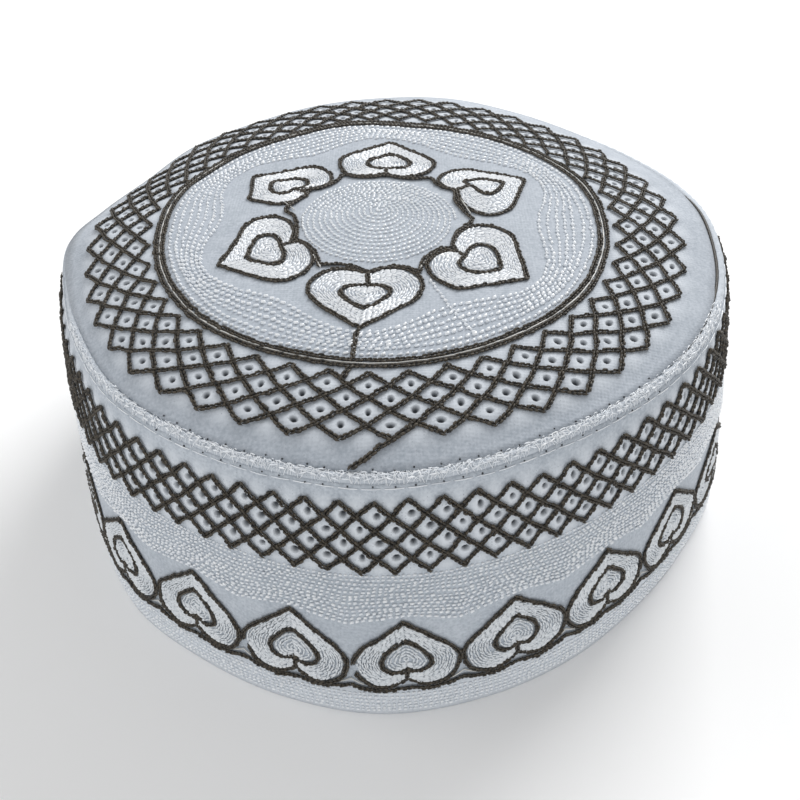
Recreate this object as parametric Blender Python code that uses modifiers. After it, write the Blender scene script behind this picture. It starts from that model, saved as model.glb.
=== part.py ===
"""Kufi: a stiffened cotton cap with a domed crown, an upright side band and an overcast rim seam.

Lengths are metres and +Z is up. The hem rests on the ground at Z = 0, and the middle of the
hat's bounding box stands over the origin. The front of the hat faces -Y.
"""

import math

import bmesh
import bpy
from mathutils import Vector

MM = 0.001

# Cloth and seam sizes
CLOTH_THICKNESS = 2.0 * MM
WELT_RADIUS = 1.7 * MM
WELT_INSET = 1.3 * MM
PIECE_GAP = 0.3 * MM

# Crown: its middle stands highest, and the power sets how flat the top is before it turns down
CROWN_HEIGHT = 78.2 * MM
CROWN_FLATNESS = 5.0

# Next to the rim seam the crown is pulled down a little
SEAM_DIP = 0.6 * MM
SEAM_DIP_WIDTH = 7.0 * MM

# Side band: a slight swell half way down, a ledge below the rim and an upright hem
BAND_SWELL = 1.1 * MM
LEDGE_DEPTH = 5.0 * MM
HEM_HEIGHT = 4.0 * MM

# The axis of the outline table lies this far from the middle of the hat's bounding box
AXIS_X = -2.91 * MM
AXIS_Y = 0.30 * MM

# How finely the cloth is divided
SEGMENTS = 96
CROWN_RATIOS = (0.0, 0.12, 0.26, 0.40, 0.53, 0.64, 0.74, 0.82, 0.88, 0.93, 0.97, 1.0)
BAND_DROPS = (0.0, 0.03, 0.07, 0.15, 0.27, 0.42, 0.58, 0.74, 0.87)
WELT_RINGS = 2

# The hat is a little out of round. Azimuth runs anticlockwise from +X, seen from above.
# The ledge is how far the band stands out below the rim.
OUTLINE_COLUMNS = ("azimuth_deg", "rim_radius", "rim_height", "base_radius", "ledge")
OUTLINE_MM = (
    (0, 85.7, 76.1, 94.4, 1.9),
    (15, 86.2, 74.3, 93.3, 2.6),
    (30, 85.8, 72.7, 92.7, 1.9),
    (45, 85.5, 72.4, 92.4, 1.3),
    (60, 85.6, 73.1, 92.3, 1.0),
    (75, 86.3, 73.9, 92.3, 0.9),
    (90, 85.7, 73.4, 92.5, 0.9),
    (105, 84.9, 72.6, 92.9, 1.0),
    (120, 83.7, 71.2, 93.3, 1.0),
    (135, 83.3, 70.0, 93.4, 0.9),
    (150, 80.7, 68.7, 93.0, 0.8),
    (165, 80.8, 69.6, 91.8, 0.5),
    (180, 81.0, 72.4, 89.7, 0.2),
    (195, 79.0, 70.6, 88.0, 0.8),
    (210, 78.5, 70.7, 88.7, 0.6),
    (225, 79.6, 70.7, 90.5, 0.3),
    (240, 80.0, 70.9, 90.2, 0.2),
    (255, 80.8, 70.8, 91.5, 0.2),
    (270, 82.2, 70.9, 93.1, 0.2),
    (285, 81.9, 71.3, 92.5, 0.3),
    (300, 81.5, 71.9, 92.1, 0.5),
    (315, 83.0, 72.4, 92.2, 0.7),
    (330, 85.1, 73.0, 94.4, 0.4),
    (345, 86.0, 73.7, 98.2, 0.2),
)

# name, colour, roughness
CROWN_CLOTH = ("crown_cloth", (0.62, 0.67, 0.72, 1.0), 0.85)
BAND_CLOTH = ("band_cloth", (0.60, 0.65, 0.71, 1.0), 0.85)
SEAM_THREAD = ("seam_thread", (0.78, 0.80, 0.82, 1.0), 0.55)


def clear_scene():
    """Remove every object already in the scene."""
    for item in list(bpy.data.objects):
        bpy.data.objects.remove(item, do_unlink=True)


def outline(column, azimuth):
    """Read one column of the outline table at any azimuth, smoothly, in metres."""
    place = OUTLINE_COLUMNS.index(column)
    rows = len(OUTLINE_MM)
    step = (azimuth / math.tau * rows) % rows
    row = int(step)
    part = step - row
    before, start, end, after = (OUTLINE_MM[(row + k) % rows][place] for k in (-1, 0, 1, 2))
    bend = 2 * before - 5 * start + 4 * end - after
    twist = 3 * (start - end) + after - before
    return (start + 0.5 * part * (end - before + part * (bend + part * twist))) * MM


def mean_rim_radius():
    """Return the rim's average radius."""
    place = OUTLINE_COLUMNS.index("rim_radius")
    return sum(row[place] for row in OUTLINE_MM) / len(OUTLINE_MM) * MM


def around(radius, azimuth, height):
    """Return the point at a radius, azimuth and height about the outline's axis."""
    return Vector((AXIS_X + radius * math.cos(azimuth), AXIS_Y + radius * math.sin(azimuth), height))


def crown_point(ratio, azimuth):
    """Return a point of the crown's outer face, from 0 at its middle to 1 at the rim."""
    mean = mean_rim_radius()
    radius = ratio * (mean + (outline("rim_radius", azimuth) - mean) * ratio)
    fall = ratio ** CROWN_FLATNESS
    height = CROWN_HEIGHT * (1 - fall) + outline("rim_height", azimuth) * fall
    from_seam = (crown_edge_ratio(azimuth) - ratio) * outline("rim_radius", azimuth)
    dip = min(1.0, max(0.0, 1 - from_seam / SEAM_DIP_WIDTH))
    return around(radius, azimuth, height - SEAM_DIP * dip * dip)


def band_point(drop, azimuth):
    """Return a point of the band's outer face, from 0 at the rim down to 1 at the ground."""
    rim_height = outline("rim_height", azimuth)
    lean = min(1.0, drop * rim_height / (rim_height - HEM_HEIGHT))
    radius = outline("rim_radius", azimuth) * (1 - lean) + outline("base_radius", azimuth) * lean
    below_edge = (drop - band_edge_drop(azimuth)) * rim_height
    ledge_part = min(1.0, max(0.0, below_edge / LEDGE_DEPTH))
    ledge = outline("ledge", azimuth) * (1 - (1 - ledge_part) ** 2) * (1 - lean)
    swell = BAND_SWELL * 4 * lean * (1 - lean)
    return around(radius + ledge + swell, azimuth, rim_height * (1 - drop))


def welt_point(azimuth):
    """Return a point of the rim seam's centre line."""
    radius = outline("rim_radius", azimuth) - WELT_INSET
    return around(radius, azimuth, outline("rim_height", azimuth) - WELT_INSET)


def crown_edge_ratio(azimuth):
    """Return how far out the crown panel reaches before it meets the rim seam."""
    return 1 - (WELT_INSET + WELT_RADIUS + PIECE_GAP) / outline("rim_radius", azimuth)


def band_edge_drop(azimuth):
    """Return how far below the rim the side band starts."""
    return (WELT_INSET + WELT_RADIUS + PIECE_GAP) / outline("rim_height", azimuth)


def finish(spec):
    """Make a plain material from a name, a colour and a roughness."""
    name, colour, roughness = spec
    material = bpy.data.materials.new(name)
    material.use_nodes = True
    shader = material.node_tree.nodes["Principled BSDF"]
    shader.inputs["Base Color"].default_value = colour
    shader.inputs["Roughness"].default_value = roughness
    shader.inputs["Metallic"].default_value = 0.0
    material.diffuse_color = colour
    return material


def turned_sheet(profile):
    """Turn a profile of (radius, height) pairs through a full circle and return the bmesh."""
    mesh = bmesh.new()
    points = [mesh.verts.new((radius, 0.0, height)) for radius, height in profile]
    edges = [mesh.edges.new(pair) for pair in zip(points, points[1:])]
    bmesh.ops.spin(
        mesh,
        geom=points + edges,
        cent=(0, 0, 0),
        axis=(0, 0, 1),
        angle=math.tau,
        steps=SEGMENTS,
        use_duplicate=False,
    )
    bmesh.ops.remove_doubles(mesh, verts=mesh.verts, dist=0.00002)
    bmesh.ops.dissolve_degenerate(mesh, edges=mesh.edges, dist=0.00001)
    return mesh


def face_outward(mesh):
    """Make all the sheet's faces look away from the inside of the hat."""
    bmesh.ops.recalc_face_normals(mesh, faces=mesh.faces)
    inside = Vector((AXIS_X, AXIS_Y, 0.0))
    face = max(mesh.faces, key=lambda item: item.calc_area())
    if face.normal.dot(face.calc_center_median() - inside) < 0:
        bmesh.ops.reverse_faces(mesh, faces=mesh.faces)


def add_cloth(name, mesh, collection, material):
    """Turn a shaped sheet into an object, and thicken it inward with Solidify."""
    face_outward(mesh)
    data = bpy.data.meshes.new(name)
    mesh.to_mesh(data)
    mesh.free()
    data.materials.append(material)
    data.shade_smooth()
    piece = bpy.data.objects.new(name, data)
    collection.objects.link(piece)
    solid = piece.modifiers.new("cloth_thickness", "SOLIDIFY")
    solid.thickness = CLOTH_THICKNESS
    solid.offset = -1.0
    solid.use_even_offset = True
    return piece


def shape_crown():
    """Shape a turned disc into the out-of-round dome of the crown panel."""
    disc = turned_sheet([(ratio, 0.0) for ratio in CROWN_RATIOS])
    for vertex in disc.verts:
        azimuth = math.atan2(vertex.co.y, vertex.co.x)
        ratio = math.hypot(vertex.co.x, vertex.co.y) * crown_edge_ratio(azimuth)
        vertex.co = crown_point(ratio, azimuth)
    return disc


def shape_band():
    """Shape a turned wall into the side band, upright below the top of its hem."""
    hem_top = 1 - HEM_HEIGHT / max(row[2] * MM for row in OUTLINE_MM)
    drops = BAND_DROPS + (hem_top, 1.0)
    wall = turned_sheet([(1.0, drop) for drop in drops])
    for vertex in wall.verts:
        azimuth = math.atan2(vertex.co.y, vertex.co.x)
        start = band_edge_drop(azimuth)
        if vertex.co.z > 0.999:
            drop = 1.0
        elif vertex.co.z > hem_top - 0.0005:
            drop = 1 - HEM_HEIGHT / outline("rim_height", azimuth)
        else:
            drop = start + (1 - start) * vertex.co.z
        vertex.co = band_point(drop, azimuth)
    return wall


def add_welt(name, collection, material):
    """Lay the rim seam as a round welt along the rim, and make it a mesh."""
    curve = bpy.data.curves.new(name, "CURVE")
    curve.dimensions = "3D"
    curve.bevel_depth = WELT_RADIUS
    curve.bevel_resolution = WELT_RINGS
    curve.use_fill_caps = False
    spline = curve.splines.new("POLY")
    spline.points.add(SEGMENTS - 1)
    for number, point in enumerate(spline.points):
        point.co = welt_point(math.tau * number / SEGMENTS).to_4d()
    spline.use_cyclic_u = True
    curve.materials.append(material)
    piece = bpy.data.objects.new(name, curve)
    collection.objects.link(piece)
    return piece


def build_kufi():
    """Build the three pieces of the hat in a collection of their own."""
    clear_scene()
    collection = bpy.data.collections.new("kufi")
    bpy.context.scene.collection.children.link(collection)
    add_cloth("crown_panel", shape_crown(), collection, finish(CROWN_CLOTH))
    add_cloth("side_band", shape_band(), collection, finish(BAND_CLOTH))
    add_welt("rim_seam", collection, finish(SEAM_THREAD))


build_kufi()
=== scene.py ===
"""Kufi: an embroidered cotton cap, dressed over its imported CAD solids.

Lengths are metres unless a name says otherwise, +Z is up and the front of the hat faces -Y.
Every seam, cord and stitch is drawn on a flat chart of the face it lies on, and the chart
carries it onto the hat.
"""

import logging
import math
from abc import ABC, abstractmethod
from dataclasses import dataclass
from enum import Enum

import bpy
import numpy as np
from mathutils import Matrix, Vector
from mathutils.geometry import delaunay_2d_cdt


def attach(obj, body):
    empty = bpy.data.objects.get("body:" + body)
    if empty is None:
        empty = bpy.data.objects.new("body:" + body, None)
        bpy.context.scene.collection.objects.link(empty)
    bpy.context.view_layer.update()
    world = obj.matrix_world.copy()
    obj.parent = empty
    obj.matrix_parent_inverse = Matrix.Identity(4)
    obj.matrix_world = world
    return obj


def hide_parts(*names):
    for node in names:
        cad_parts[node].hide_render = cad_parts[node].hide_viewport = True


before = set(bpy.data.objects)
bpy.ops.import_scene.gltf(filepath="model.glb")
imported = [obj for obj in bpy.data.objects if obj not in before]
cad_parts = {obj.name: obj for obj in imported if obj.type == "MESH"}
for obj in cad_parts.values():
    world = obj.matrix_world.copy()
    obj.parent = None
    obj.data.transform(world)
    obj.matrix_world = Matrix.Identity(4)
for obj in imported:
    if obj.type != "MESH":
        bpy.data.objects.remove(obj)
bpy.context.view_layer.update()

MM = 0.001
DEG = math.pi / 180
Array = np.ndarray
Line = np.ndarray
Pair = tuple[float, float]
Material = bpy.types.Material
Object = bpy.types.Object
log = logging.getLogger("kufi")


class Outline(Enum):
    """Columns of the hat's outline table."""

    RIM_RADIUS = 1
    RIM_HEIGHT = 2
    BASE_RADIUS = 3
    LEDGE = 4


# azimuth_deg, rim_radius, rim_height, base_radius, ledge: the same table as the CAD source
OUTLINE_MM = (
    (0, 85.7, 76.1, 94.4, 1.9),
    (15, 86.2, 74.3, 93.3, 2.6),
    (30, 85.8, 72.7, 92.7, 1.9),
    (45, 85.5, 72.4, 92.4, 1.3),
    (60, 85.6, 73.1, 92.3, 1.0),
    (75, 86.3, 73.9, 92.3, 0.9),
    (90, 85.7, 73.4, 92.5, 0.9),
    (105, 84.9, 72.6, 92.9, 1.0),
    (120, 83.7, 71.2, 93.3, 1.0),
    (135, 83.3, 70.0, 93.4, 0.9),
    (150, 80.7, 68.7, 93.0, 0.8),
    (165, 80.8, 69.6, 91.8, 0.5),
    (180, 81.0, 72.4, 89.7, 0.2),
    (195, 79.0, 70.6, 88.0, 0.8),
    (210, 78.5, 70.7, 88.7, 0.6),
    (225, 79.6, 70.7, 90.5, 0.3),
    (240, 80.0, 70.9, 90.2, 0.2),
    (255, 80.8, 70.8, 91.5, 0.2),
    (270, 82.2, 70.9, 93.1, 0.2),
    (285, 81.9, 71.3, 92.5, 0.3),
    (300, 81.5, 71.9, 92.1, 0.5),
    (315, 83.0, 72.4, 92.2, 0.7),
    (330, 85.1, 73.0, 94.4, 0.4),
    (345, 86.0, 73.7, 98.2, 0.2),
)


def bent(before: Array, start: Array, end: Array, after: Array, part: Array) -> Array:
    """Return points of the smooth curve between the middle two of four neighbours.

    Args:
        before: the neighbour before the start.
        start: where the curve starts.
        end: where it ends.
        after: the neighbour after the end.
        part: how far along the curve the points are, from 0 to 1.

    Returns:
        The points.
    """
    bend = 2 * before - 5 * start + 4 * end - after
    twist = 3 * (start - end) + after - before
    return start + 0.5 * part * (end - before + part * (bend + part * twist))


def read_round(rows: Array, azimuth: Array) -> Array:
    """Read a table whose rows stand evenly round the hat at any azimuth, smoothly.

    Args:
        rows: the table, its first row at azimuth 0.
        azimuth: angles in radians, anticlockwise from +X.

    Returns:
        The table's values there.
    """
    step = (azimuth / math.tau * len(rows)) % len(rows)
    row = np.floor(step).astype(int)
    part = (step - row).reshape(np.shape(step) + (1,) * (rows.ndim - 1))
    return bent(*(rows[(row + k) % len(rows)] for k in (-1, 0, 1, 2)), part)


@dataclass(frozen=True)
class HatForm:
    """The hat's outer faces, with the named sizes of the CAD source."""

    crown_height: float = 78.2 * MM
    crown_flatness: float = 5.0
    seam_dip: float = 0.6 * MM
    seam_dip_width: float = 7.0 * MM
    seam_reach: float = 3.3 * MM
    band_swell: float = 1.1 * MM
    ledge_depth: float = 5.0 * MM
    hem_height: float = 4.0 * MM
    axis_x: float = -2.91 * MM
    axis_y: float = 0.30 * MM

    def read(self, column: Outline, azimuth: Array) -> Array:
        """Read one column of the outline table at any azimuth, in metres."""
        return read_round(np.array(OUTLINE_MM)[:, column.value] * MM, azimuth)

    @property
    def mean_rim(self) -> float:
        """Return the rim's average radius."""
        return float(np.array(OUTLINE_MM)[:, Outline.RIM_RADIUS.value].mean()) * MM

    def around(self, radius: Array, azimuth: Array, height: Array) -> Array:
        """Return the points at a radius, azimuth and height about the outline's axis."""
        return np.stack(
            [
                self.axis_x + radius * np.cos(azimuth),
                self.axis_y + radius * np.sin(azimuth),
                height + 0 * azimuth,
            ],
            axis=-1,
        )

    def crown(self, ratio: Array, azimuth: Array) -> Array:
        """Return points of the crown's outer face, from 0 at its middle to 1 at the rim.

        Args:
            ratio: how far out, as a share of the rim's radius.
            azimuth: angles in radians.

        Returns:
            The points, one to a row.
        """
        rim = self.read(Outline.RIM_RADIUS, azimuth)
        radius = ratio * (self.mean_rim + (rim - self.mean_rim) * ratio)
        fall = ratio**self.crown_flatness
        height = self.crown_height * (1 - fall) + self.read(Outline.RIM_HEIGHT, azimuth) * fall
        from_seam = (1 - self.seam_reach / rim - ratio) * rim
        dip = np.clip(1 - from_seam / self.seam_dip_width, 0, 1)
        return self.around(radius, azimuth, height - self.seam_dip * dip * dip)

    def band(self, drop: Array, azimuth: Array) -> Array:
        """Return points of the band's outer face, from 0 at the rim to 1 at the ground.

        Args:
            drop: how far down, as a share of the rim's height.
            azimuth: angles in radians.

        Returns:
            The points, one to a row.
        """
        rim_height = self.read(Outline.RIM_HEIGHT, azimuth)
        lean = np.minimum(1.0, drop * rim_height / (rim_height - self.hem_height))
        rim = self.read(Outline.RIM_RADIUS, azimuth)
        radius = rim * (1 - lean) + self.read(Outline.BASE_RADIUS, azimuth) * lean
        ledge_part = np.clip((drop * rim_height - self.seam_reach) / self.ledge_depth, 0, 1)
        ledge = self.read(Outline.LEDGE, azimuth) * (1 - (1 - ledge_part) ** 2) * (1 - lean)
        swell = self.band_swell * 4 * lean * (1 - lean)
        return self.around(radius + ledge + swell, azimuth, rim_height * (1 - drop))


def unit(vectors: Array) -> Array:
    """Return the vectors at length one."""
    return vectors / np.maximum(np.linalg.norm(vectors, axis=-1, keepdims=True), 1e-12)


@dataclass(frozen=True)
class Chart(ABC):
    """A flat drawing of one face of the hat, in metres, on which the work is laid out."""

    form: HatForm
    probe: float = 0.05 * MM

    @abstractmethod
    def point(self, drawn: Line) -> Array:
        """Carry drawn points onto the hat."""

    def facing(self, drawn: Line) -> Array:
        """Return the way that the face looks at drawn points.

        Args:
            drawn: chart points, one to a row.

        Returns:
            Unit vectors that point out of the cloth.
        """
        here = self.point(drawn)
        right = self.point(drawn + (self.probe, 0)) - here
        up = self.point(drawn + (0, self.probe)) - here
        normal = unit(np.cross(right, up))
        inside = np.array([self.form.axis_x, self.form.axis_y, 0.0])
        return normal * np.sign(np.sum(normal * (here - inside), axis=-1, keepdims=True))


@dataclass(frozen=True)
class CrownChart(Chart):
    """The crown seen flat from above: x and y from its middle, at the mean rim radius."""

    def point(self, drawn: Line) -> Array:
        """Carry drawn points onto the crown."""
        azimuth = np.arctan2(drawn[..., 1], drawn[..., 0])
        return self.form.crown(np.hypot(drawn[..., 0], drawn[..., 1]) / self.form.mean_rim, azimuth)


@dataclass(frozen=True)
class BandChart(Chart):
    """The band rolled out flat: distance round it at one radius, and depth below the rim."""

    radius: float = 87.0 * MM
    depth: float = 71.0 * MM

    def point(self, drawn: Line) -> Array:
        """Carry drawn points onto the band."""
        return self.form.band(drawn[..., 1] / self.depth, drawn[..., 0] / self.radius)


# Where the crown cloth reaches over the roll: its two ends, and how softly each one fades in
OVERLAP_ENDS_DEG = (28, 210)
OVERLAP_FADES_DEG = (30, 22)


def covered(azimuth: Array) -> Array:
    """Return how far the crown cloth reaches over the roll.

    Args:
        azimuth: angles in radians.

    Returns:
        Shares from 0 to 1.
    """
    turn = np.degrees(azimuth) % 360
    start = (turn - OVERLAP_ENDS_DEG[0]) / OVERLAP_FADES_DEG[0]
    end = (OVERLAP_ENDS_DEG[1] - turn) / OVERLAP_FADES_DEG[1]
    share = np.clip(np.minimum(start, end), 0, 1)
    return share * share * (3 - 2 * share)


@dataclass(frozen=True)
class RimChart(Chart):
    """The rolled rim seam: distance round it, and distance across it from crown to band."""

    radius: float = 82.0 * MM
    roll_radius: float = 1.3 * MM
    roll_inset: float = 1.15 * MM
    crown_angle: float = 25 * DEG
    band_angle: float = 205 * DEG
    sinking: float = 0.75 * MM

    @property
    def width(self) -> float:
        """Return the distance across the roll, from where it meets the crown to the band."""
        return self.roll_radius * (self.band_angle - self.crown_angle)

    def sunk(self, azimuth: Array) -> Array:
        """Return how deep the roll lies below its place."""
        return self.sinking * covered(azimuth)

    def point(self, drawn: Line) -> Array:
        """Carry drawn points onto the roll, and past its edges onto the crown or the band.

        Args:
            drawn: chart points, one to a row.

        Returns:
            The points on the hat.
        """
        azimuth, across = drawn[..., 0] / self.radius, drawn[..., 1]
        rim = self.form.read(Outline.RIM_RADIUS, azimuth)
        height = self.form.read(Outline.RIM_HEIGHT, azimuth)
        turn = np.clip(
            self.crown_angle + across / self.roll_radius, self.crown_angle, self.band_angle
        )
        roll = self.form.around(
            rim - self.roll_inset - self.roll_radius * np.cos(turn),
            azimuth,
            height - self.roll_inset - self.sunk(azimuth) + self.roll_radius * np.sin(turn),
        )
        crown_edge = rim - self.roll_inset - self.roll_radius * math.cos(self.crown_angle)
        on_crown = self.form.crown((crown_edge + np.minimum(across, 0)) / rim, azimuth)
        band_edge = self.roll_inset - self.roll_radius * math.sin(self.band_angle)
        past = np.maximum(across - self.width, 0)
        on_band = self.form.band((band_edge + past) / height, azimuth)
        across = across[..., None]
        return np.where(across < 0, on_crown, np.where(across > self.width, on_band, roll))


@dataclass
class Value:
    """A shader socket that takes part in Python expressions, each adding its Math node."""

    board: "NodeBoard"
    socket: bpy.types.NodeSocket

    def _math(self, operation: str, *terms: "Value | float") -> "Value":
        """Add one Math node."""
        return self.board.node("ShaderNodeMath", {"operation": operation}, dict(enumerate(terms)))

    def __add__(self, other: "Value | float") -> "Value":
        """Return self + other."""
        return self._math("ADD", self, other)

    __radd__ = __add__

    def __sub__(self, other: "Value | float") -> "Value":
        """Return self - other."""
        return self._math("SUBTRACT", self, other)

    def __rsub__(self, other: "Value | float") -> "Value":
        """Return other - self."""
        return self._math("SUBTRACT", other, self)

    def __mul__(self, other: "Value | float") -> "Value":
        """Return self * other."""
        return self._math("MULTIPLY", self, other)

    __rmul__ = __mul__

    def sine(self) -> "Value":
        """Return the sine."""
        return self._math("SINE", self)

    def turned_from(self, other: "Value") -> "Value":
        """Return the angle whose tangent is self over other."""
        return self._math("ARCTAN2", self, other)


class NodeBoard:
    """A material's node tree, with one method that adds any node."""

    # Numbers of the Mix node's colour sockets, whose names its other sockets share
    COLOUR_A, COLOUR_B, COLOUR_RESULT = 6, 7, 2

    def __init__(self, name: str) -> None:
        """Start an empty material.

        Args:
            name: the material's name.
        """
        self.material = bpy.data.materials.new(name)
        self.material.use_nodes = True
        self.tree = self.material.node_tree
        self.tree.nodes.clear()

    def node(
        self,
        kind: str,
        settings: dict[str, object] | None = None,
        sockets: dict[str | int, object] | None = None,
        output: str | int = 0,
    ) -> Value:
        """Add a node.

        Args:
            kind: the node's type.
            settings: its properties, set first; a ramp's stops go under "stops".
            sockets: values or Values for its inputs, by name or number.
            output: the output that is wanted.

        Returns:
            The wanted output.
        """
        made = self.tree.nodes.new(kind)
        for name, setting in (settings or {}).items():
            if name == "stops":
                self._stop(made.color_ramp, setting)
            else:
                setattr(made, name, setting)
        for name, given in (sockets or {}).items():
            if isinstance(given, Value):
                self.tree.links.new(given.socket, made.inputs[name])
            else:
                made.inputs[name].default_value = given
        return Value(self, made.outputs[output] if made.outputs else None)

    def _stop(self, ramp: bpy.types.ColorRamp, stops: tuple[Pair, ...]) -> None:
        """Set a ramp's stops.

        Args:
            ramp: the ramp.
            stops: pairs of a position and a grey.
        """
        while len(ramp.elements) > 1:
            ramp.elements.remove(ramp.elements[-1])
        for number, (position, grey) in enumerate(stops):
            stop = ramp.elements[0] if number == 0 else ramp.elements.new(position)
            stop.position = position
            stop.color = (grey, grey, grey, 1.0)

    def place(self) -> tuple[Value, Value, Value]:
        """Return the x, y and z of the point being shaded, in the object's own metres."""
        where = self.node("ShaderNodeTexCoord", output="Object")
        return tuple(
            self.node("ShaderNodeSeparateXYZ", {}, {"Vector": where}, axis) for axis in "XYZ"
        )

    def noise(self, size: float, detail: float = 2.0) -> Value:
        """Add cloudy noise.

        Args:
            size: about how wide its blotches are.
            detail: how many finer layers it has.

        Returns:
            A value from 0 to 1.
        """
        where = self.node("ShaderNodeTexCoord", output="Object")
        sockets = {"Vector": where, "Scale": 1 / size, "Detail": detail}
        return self.node("ShaderNodeTexNoise", {}, sockets)

    def ramp(self, share: Value, low: float, high: float) -> Value:
        """Return 0 where a share is below low, 1 where it is above high, and a ramp between."""
        stops = ((low, 0.0), (high, 1.0))
        return self.node("ShaderNodeValToRGB", {"stops": stops}, {"Fac": share})

    def mix(self, share: Value | float, first: object, second: object) -> Value:
        """Mix two colours.

        Args:
            share: how much of the second there is.
            first: a colour or a Value.
            second: a colour or a Value.

        Returns:
            The mixed colour.
        """
        sockets = {"Factor": share, self.COLOUR_A: first, self.COLOUR_B: second}
        return self.node("ShaderNodeMix", {"data_type": "RGBA"}, sockets, self.COLOUR_RESULT)

    def attribute(self, name: str) -> Value:
        """Return a number that is kept in the mesh."""
        return self.node("ShaderNodeAttribute", {"attribute_name": name}, {}, "Fac")

    def bump(self, height: Value, depth: float, strength: float) -> Value:
        """Return normals that follow a height from 0 to 1 with this depth."""
        sockets = {"Height": height, "Distance": depth, "Strength": strength}
        return self.node("ShaderNodeBump", {}, sockets, "Normal")

    def close(self, **inputs: object) -> Material:
        """Finish the material with a Principled shader.

        Args:
            inputs: its inputs, with _ for a space in each name.

        Returns:
            The material.
        """
        named = {name.replace("_", " "): given for name, given in inputs.items()}
        shader = self.node("ShaderNodeBsdfPrincipled", {}, named)
        self.node("ShaderNodeOutputMaterial", {}, {"Surface": shader})
        return self.material


def colour(red: float, green: float, blue: float) -> tuple[float, float, float, float]:
    """Return a colour for a shader."""
    return (red, green, blue, 1.0)


class Weave(Enum):
    """Which way the cloth's threads run."""

    FLAT = "along x and y"
    ROUND = "round the hat and up it"


@dataclass(frozen=True)
class ClothFinish:
    """Stiffened white cotton with a fine weave, with painted shade inside the punched eyelets and
    painted light on the puffed diamonds.

    Each share tells how much of one pattern goes into a mix, and each size how wide it is.
    """

    name: str
    weave: Weave
    light: tuple = colour(0.525, 0.57, 0.625)
    dark: tuple = colour(0.36, 0.405, 0.46)
    speck: tuple = colour(0.30, 0.33, 0.37)
    # Painted light: the paler colour toward which the puffed diamonds, the rim roll and the hem are
    # mixed.
    cell: tuple = colour(0.70, 0.74, 0.79)
    # Painted shade: the eyelets are mixed toward this dark colour, most at their bottoms.
    pit: tuple = colour(0.05, 0.057, 0.068)
    pitch: float = 1.05 * MM
    depth: float = 0.09 * MM
    bump: float = 0.6
    round_radius: float = 87.0 * MM
    slant: float = 0.7
    wobble_size: float = 3.1 * MM
    wobble: float = 2.6
    fuzz_size: float = 0.35 * MM
    thread_shares: Pair = (0.4, 0.9)
    blotch_sizes: Pair = (0.7 * MM, 7 * MM)
    blotch_shares: Pair = (0.7, 0.3)
    blotch_ramp: Pair = (0.36, 0.66)
    hole_size: float = 1.3 * MM
    hole_shares: Pair = (0.45, 0.75)
    hole_ramp: Pair = (0.78, 0.95)
    hole_strength: float = 0.7
    roughness: float = 0.78
    sheen: float = 0.15

    def make(self) -> Material:
        """Build the material.

        Returns:
            The material.
        """
        board = NodeBoard(self.name)
        x, y, z = board.place()
        if self.weave is Weave.ROUND:
            x, y = y.turned_from(x) * self.round_radius, z
        wobble = board.noise(self.wobble_size) * self.wobble
        rate = math.tau / self.pitch
        one_way = ((x + y) * rate * self.slant + wobble).sine()
        other_way = ((x - y) * rate * self.slant - wobble).sine()
        dots = one_way * other_way
        woven, fuzzy = self.thread_shares
        threads = dots * woven + board.noise(self.fuzz_size, 3.0) * fuzzy
        (small, large), (few, many) = self.blotch_sizes, self.blotch_shares
        clouds = board.noise(small, 4.0) * few + board.noise(large) * many
        dotted, random = self.hole_shares
        specks = dots * dotted + board.noise(self.hole_size, 1.0) * random
        base = board.mix(board.ramp(clouds, *self.blotch_ramp), self.light, self.dark)
        # Painted light: the puffed diamonds, the rim roll and the hem are mixed toward the paler
        # colour.
        base = board.mix(board.attribute("cell"), base, self.cell)
        holes = board.ramp(specks, *self.hole_ramp) * self.hole_strength
        base = board.mix(holes, base, self.speck)
        return board.close(
            # Painted shade in the eyelets, by the pit share.
            Base_Color=board.mix(board.attribute("pit"), base, self.pit),
            Roughness=self.roughness,
            Sheen_Weight=self.sheen,
            Normal=board.bump(threads, self.depth, self.bump),
        )


@dataclass(frozen=True)
class ThreadFinish:
    """Glossy twisted embroidery thread."""

    name: str
    light: tuple
    dark: tuple
    roughness: float
    coat: float = 0.0
    coat_roughness: float = 0.2
    fibre: float = 0.16 * MM
    depth: float = 0.05 * MM
    bump: float = 0.5
    tone_share: float = 0.75
    fibre_share: float = 0.35
    fibre_roughness: float = 0.12
    offset: float = 0.0

    def make(self) -> Material:
        """Build the material.

        Returns:
            The material.
        """
        board = NodeBoard(self.name)
        fibres = board.noise(self.fibre)
        share = board.attribute("tone") * self.tone_share + fibres * self.fibre_share + self.offset
        return board.close(
            Base_Color=board.mix(share, self.light, self.dark),
            Roughness=self.roughness + fibres * self.fibre_roughness,
            Coat_Weight=self.coat,
            Coat_Roughness=self.coat_roughness,
            Normal=board.bump(fibres, self.depth, self.bump),
        )


@dataclass(frozen=True)
class FloorFinish:
    """A matt pale floor."""

    name: str = "pale_floor"
    shade: tuple = colour(0.93, 0.93, 0.93)

    def make(self) -> Material:
        """Build the material."""
        board = NodeBoard(self.name)
        return board.close(Base_Color=self.shade, Roughness=0.9, Specular_IOR_Level=0.1)


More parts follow.
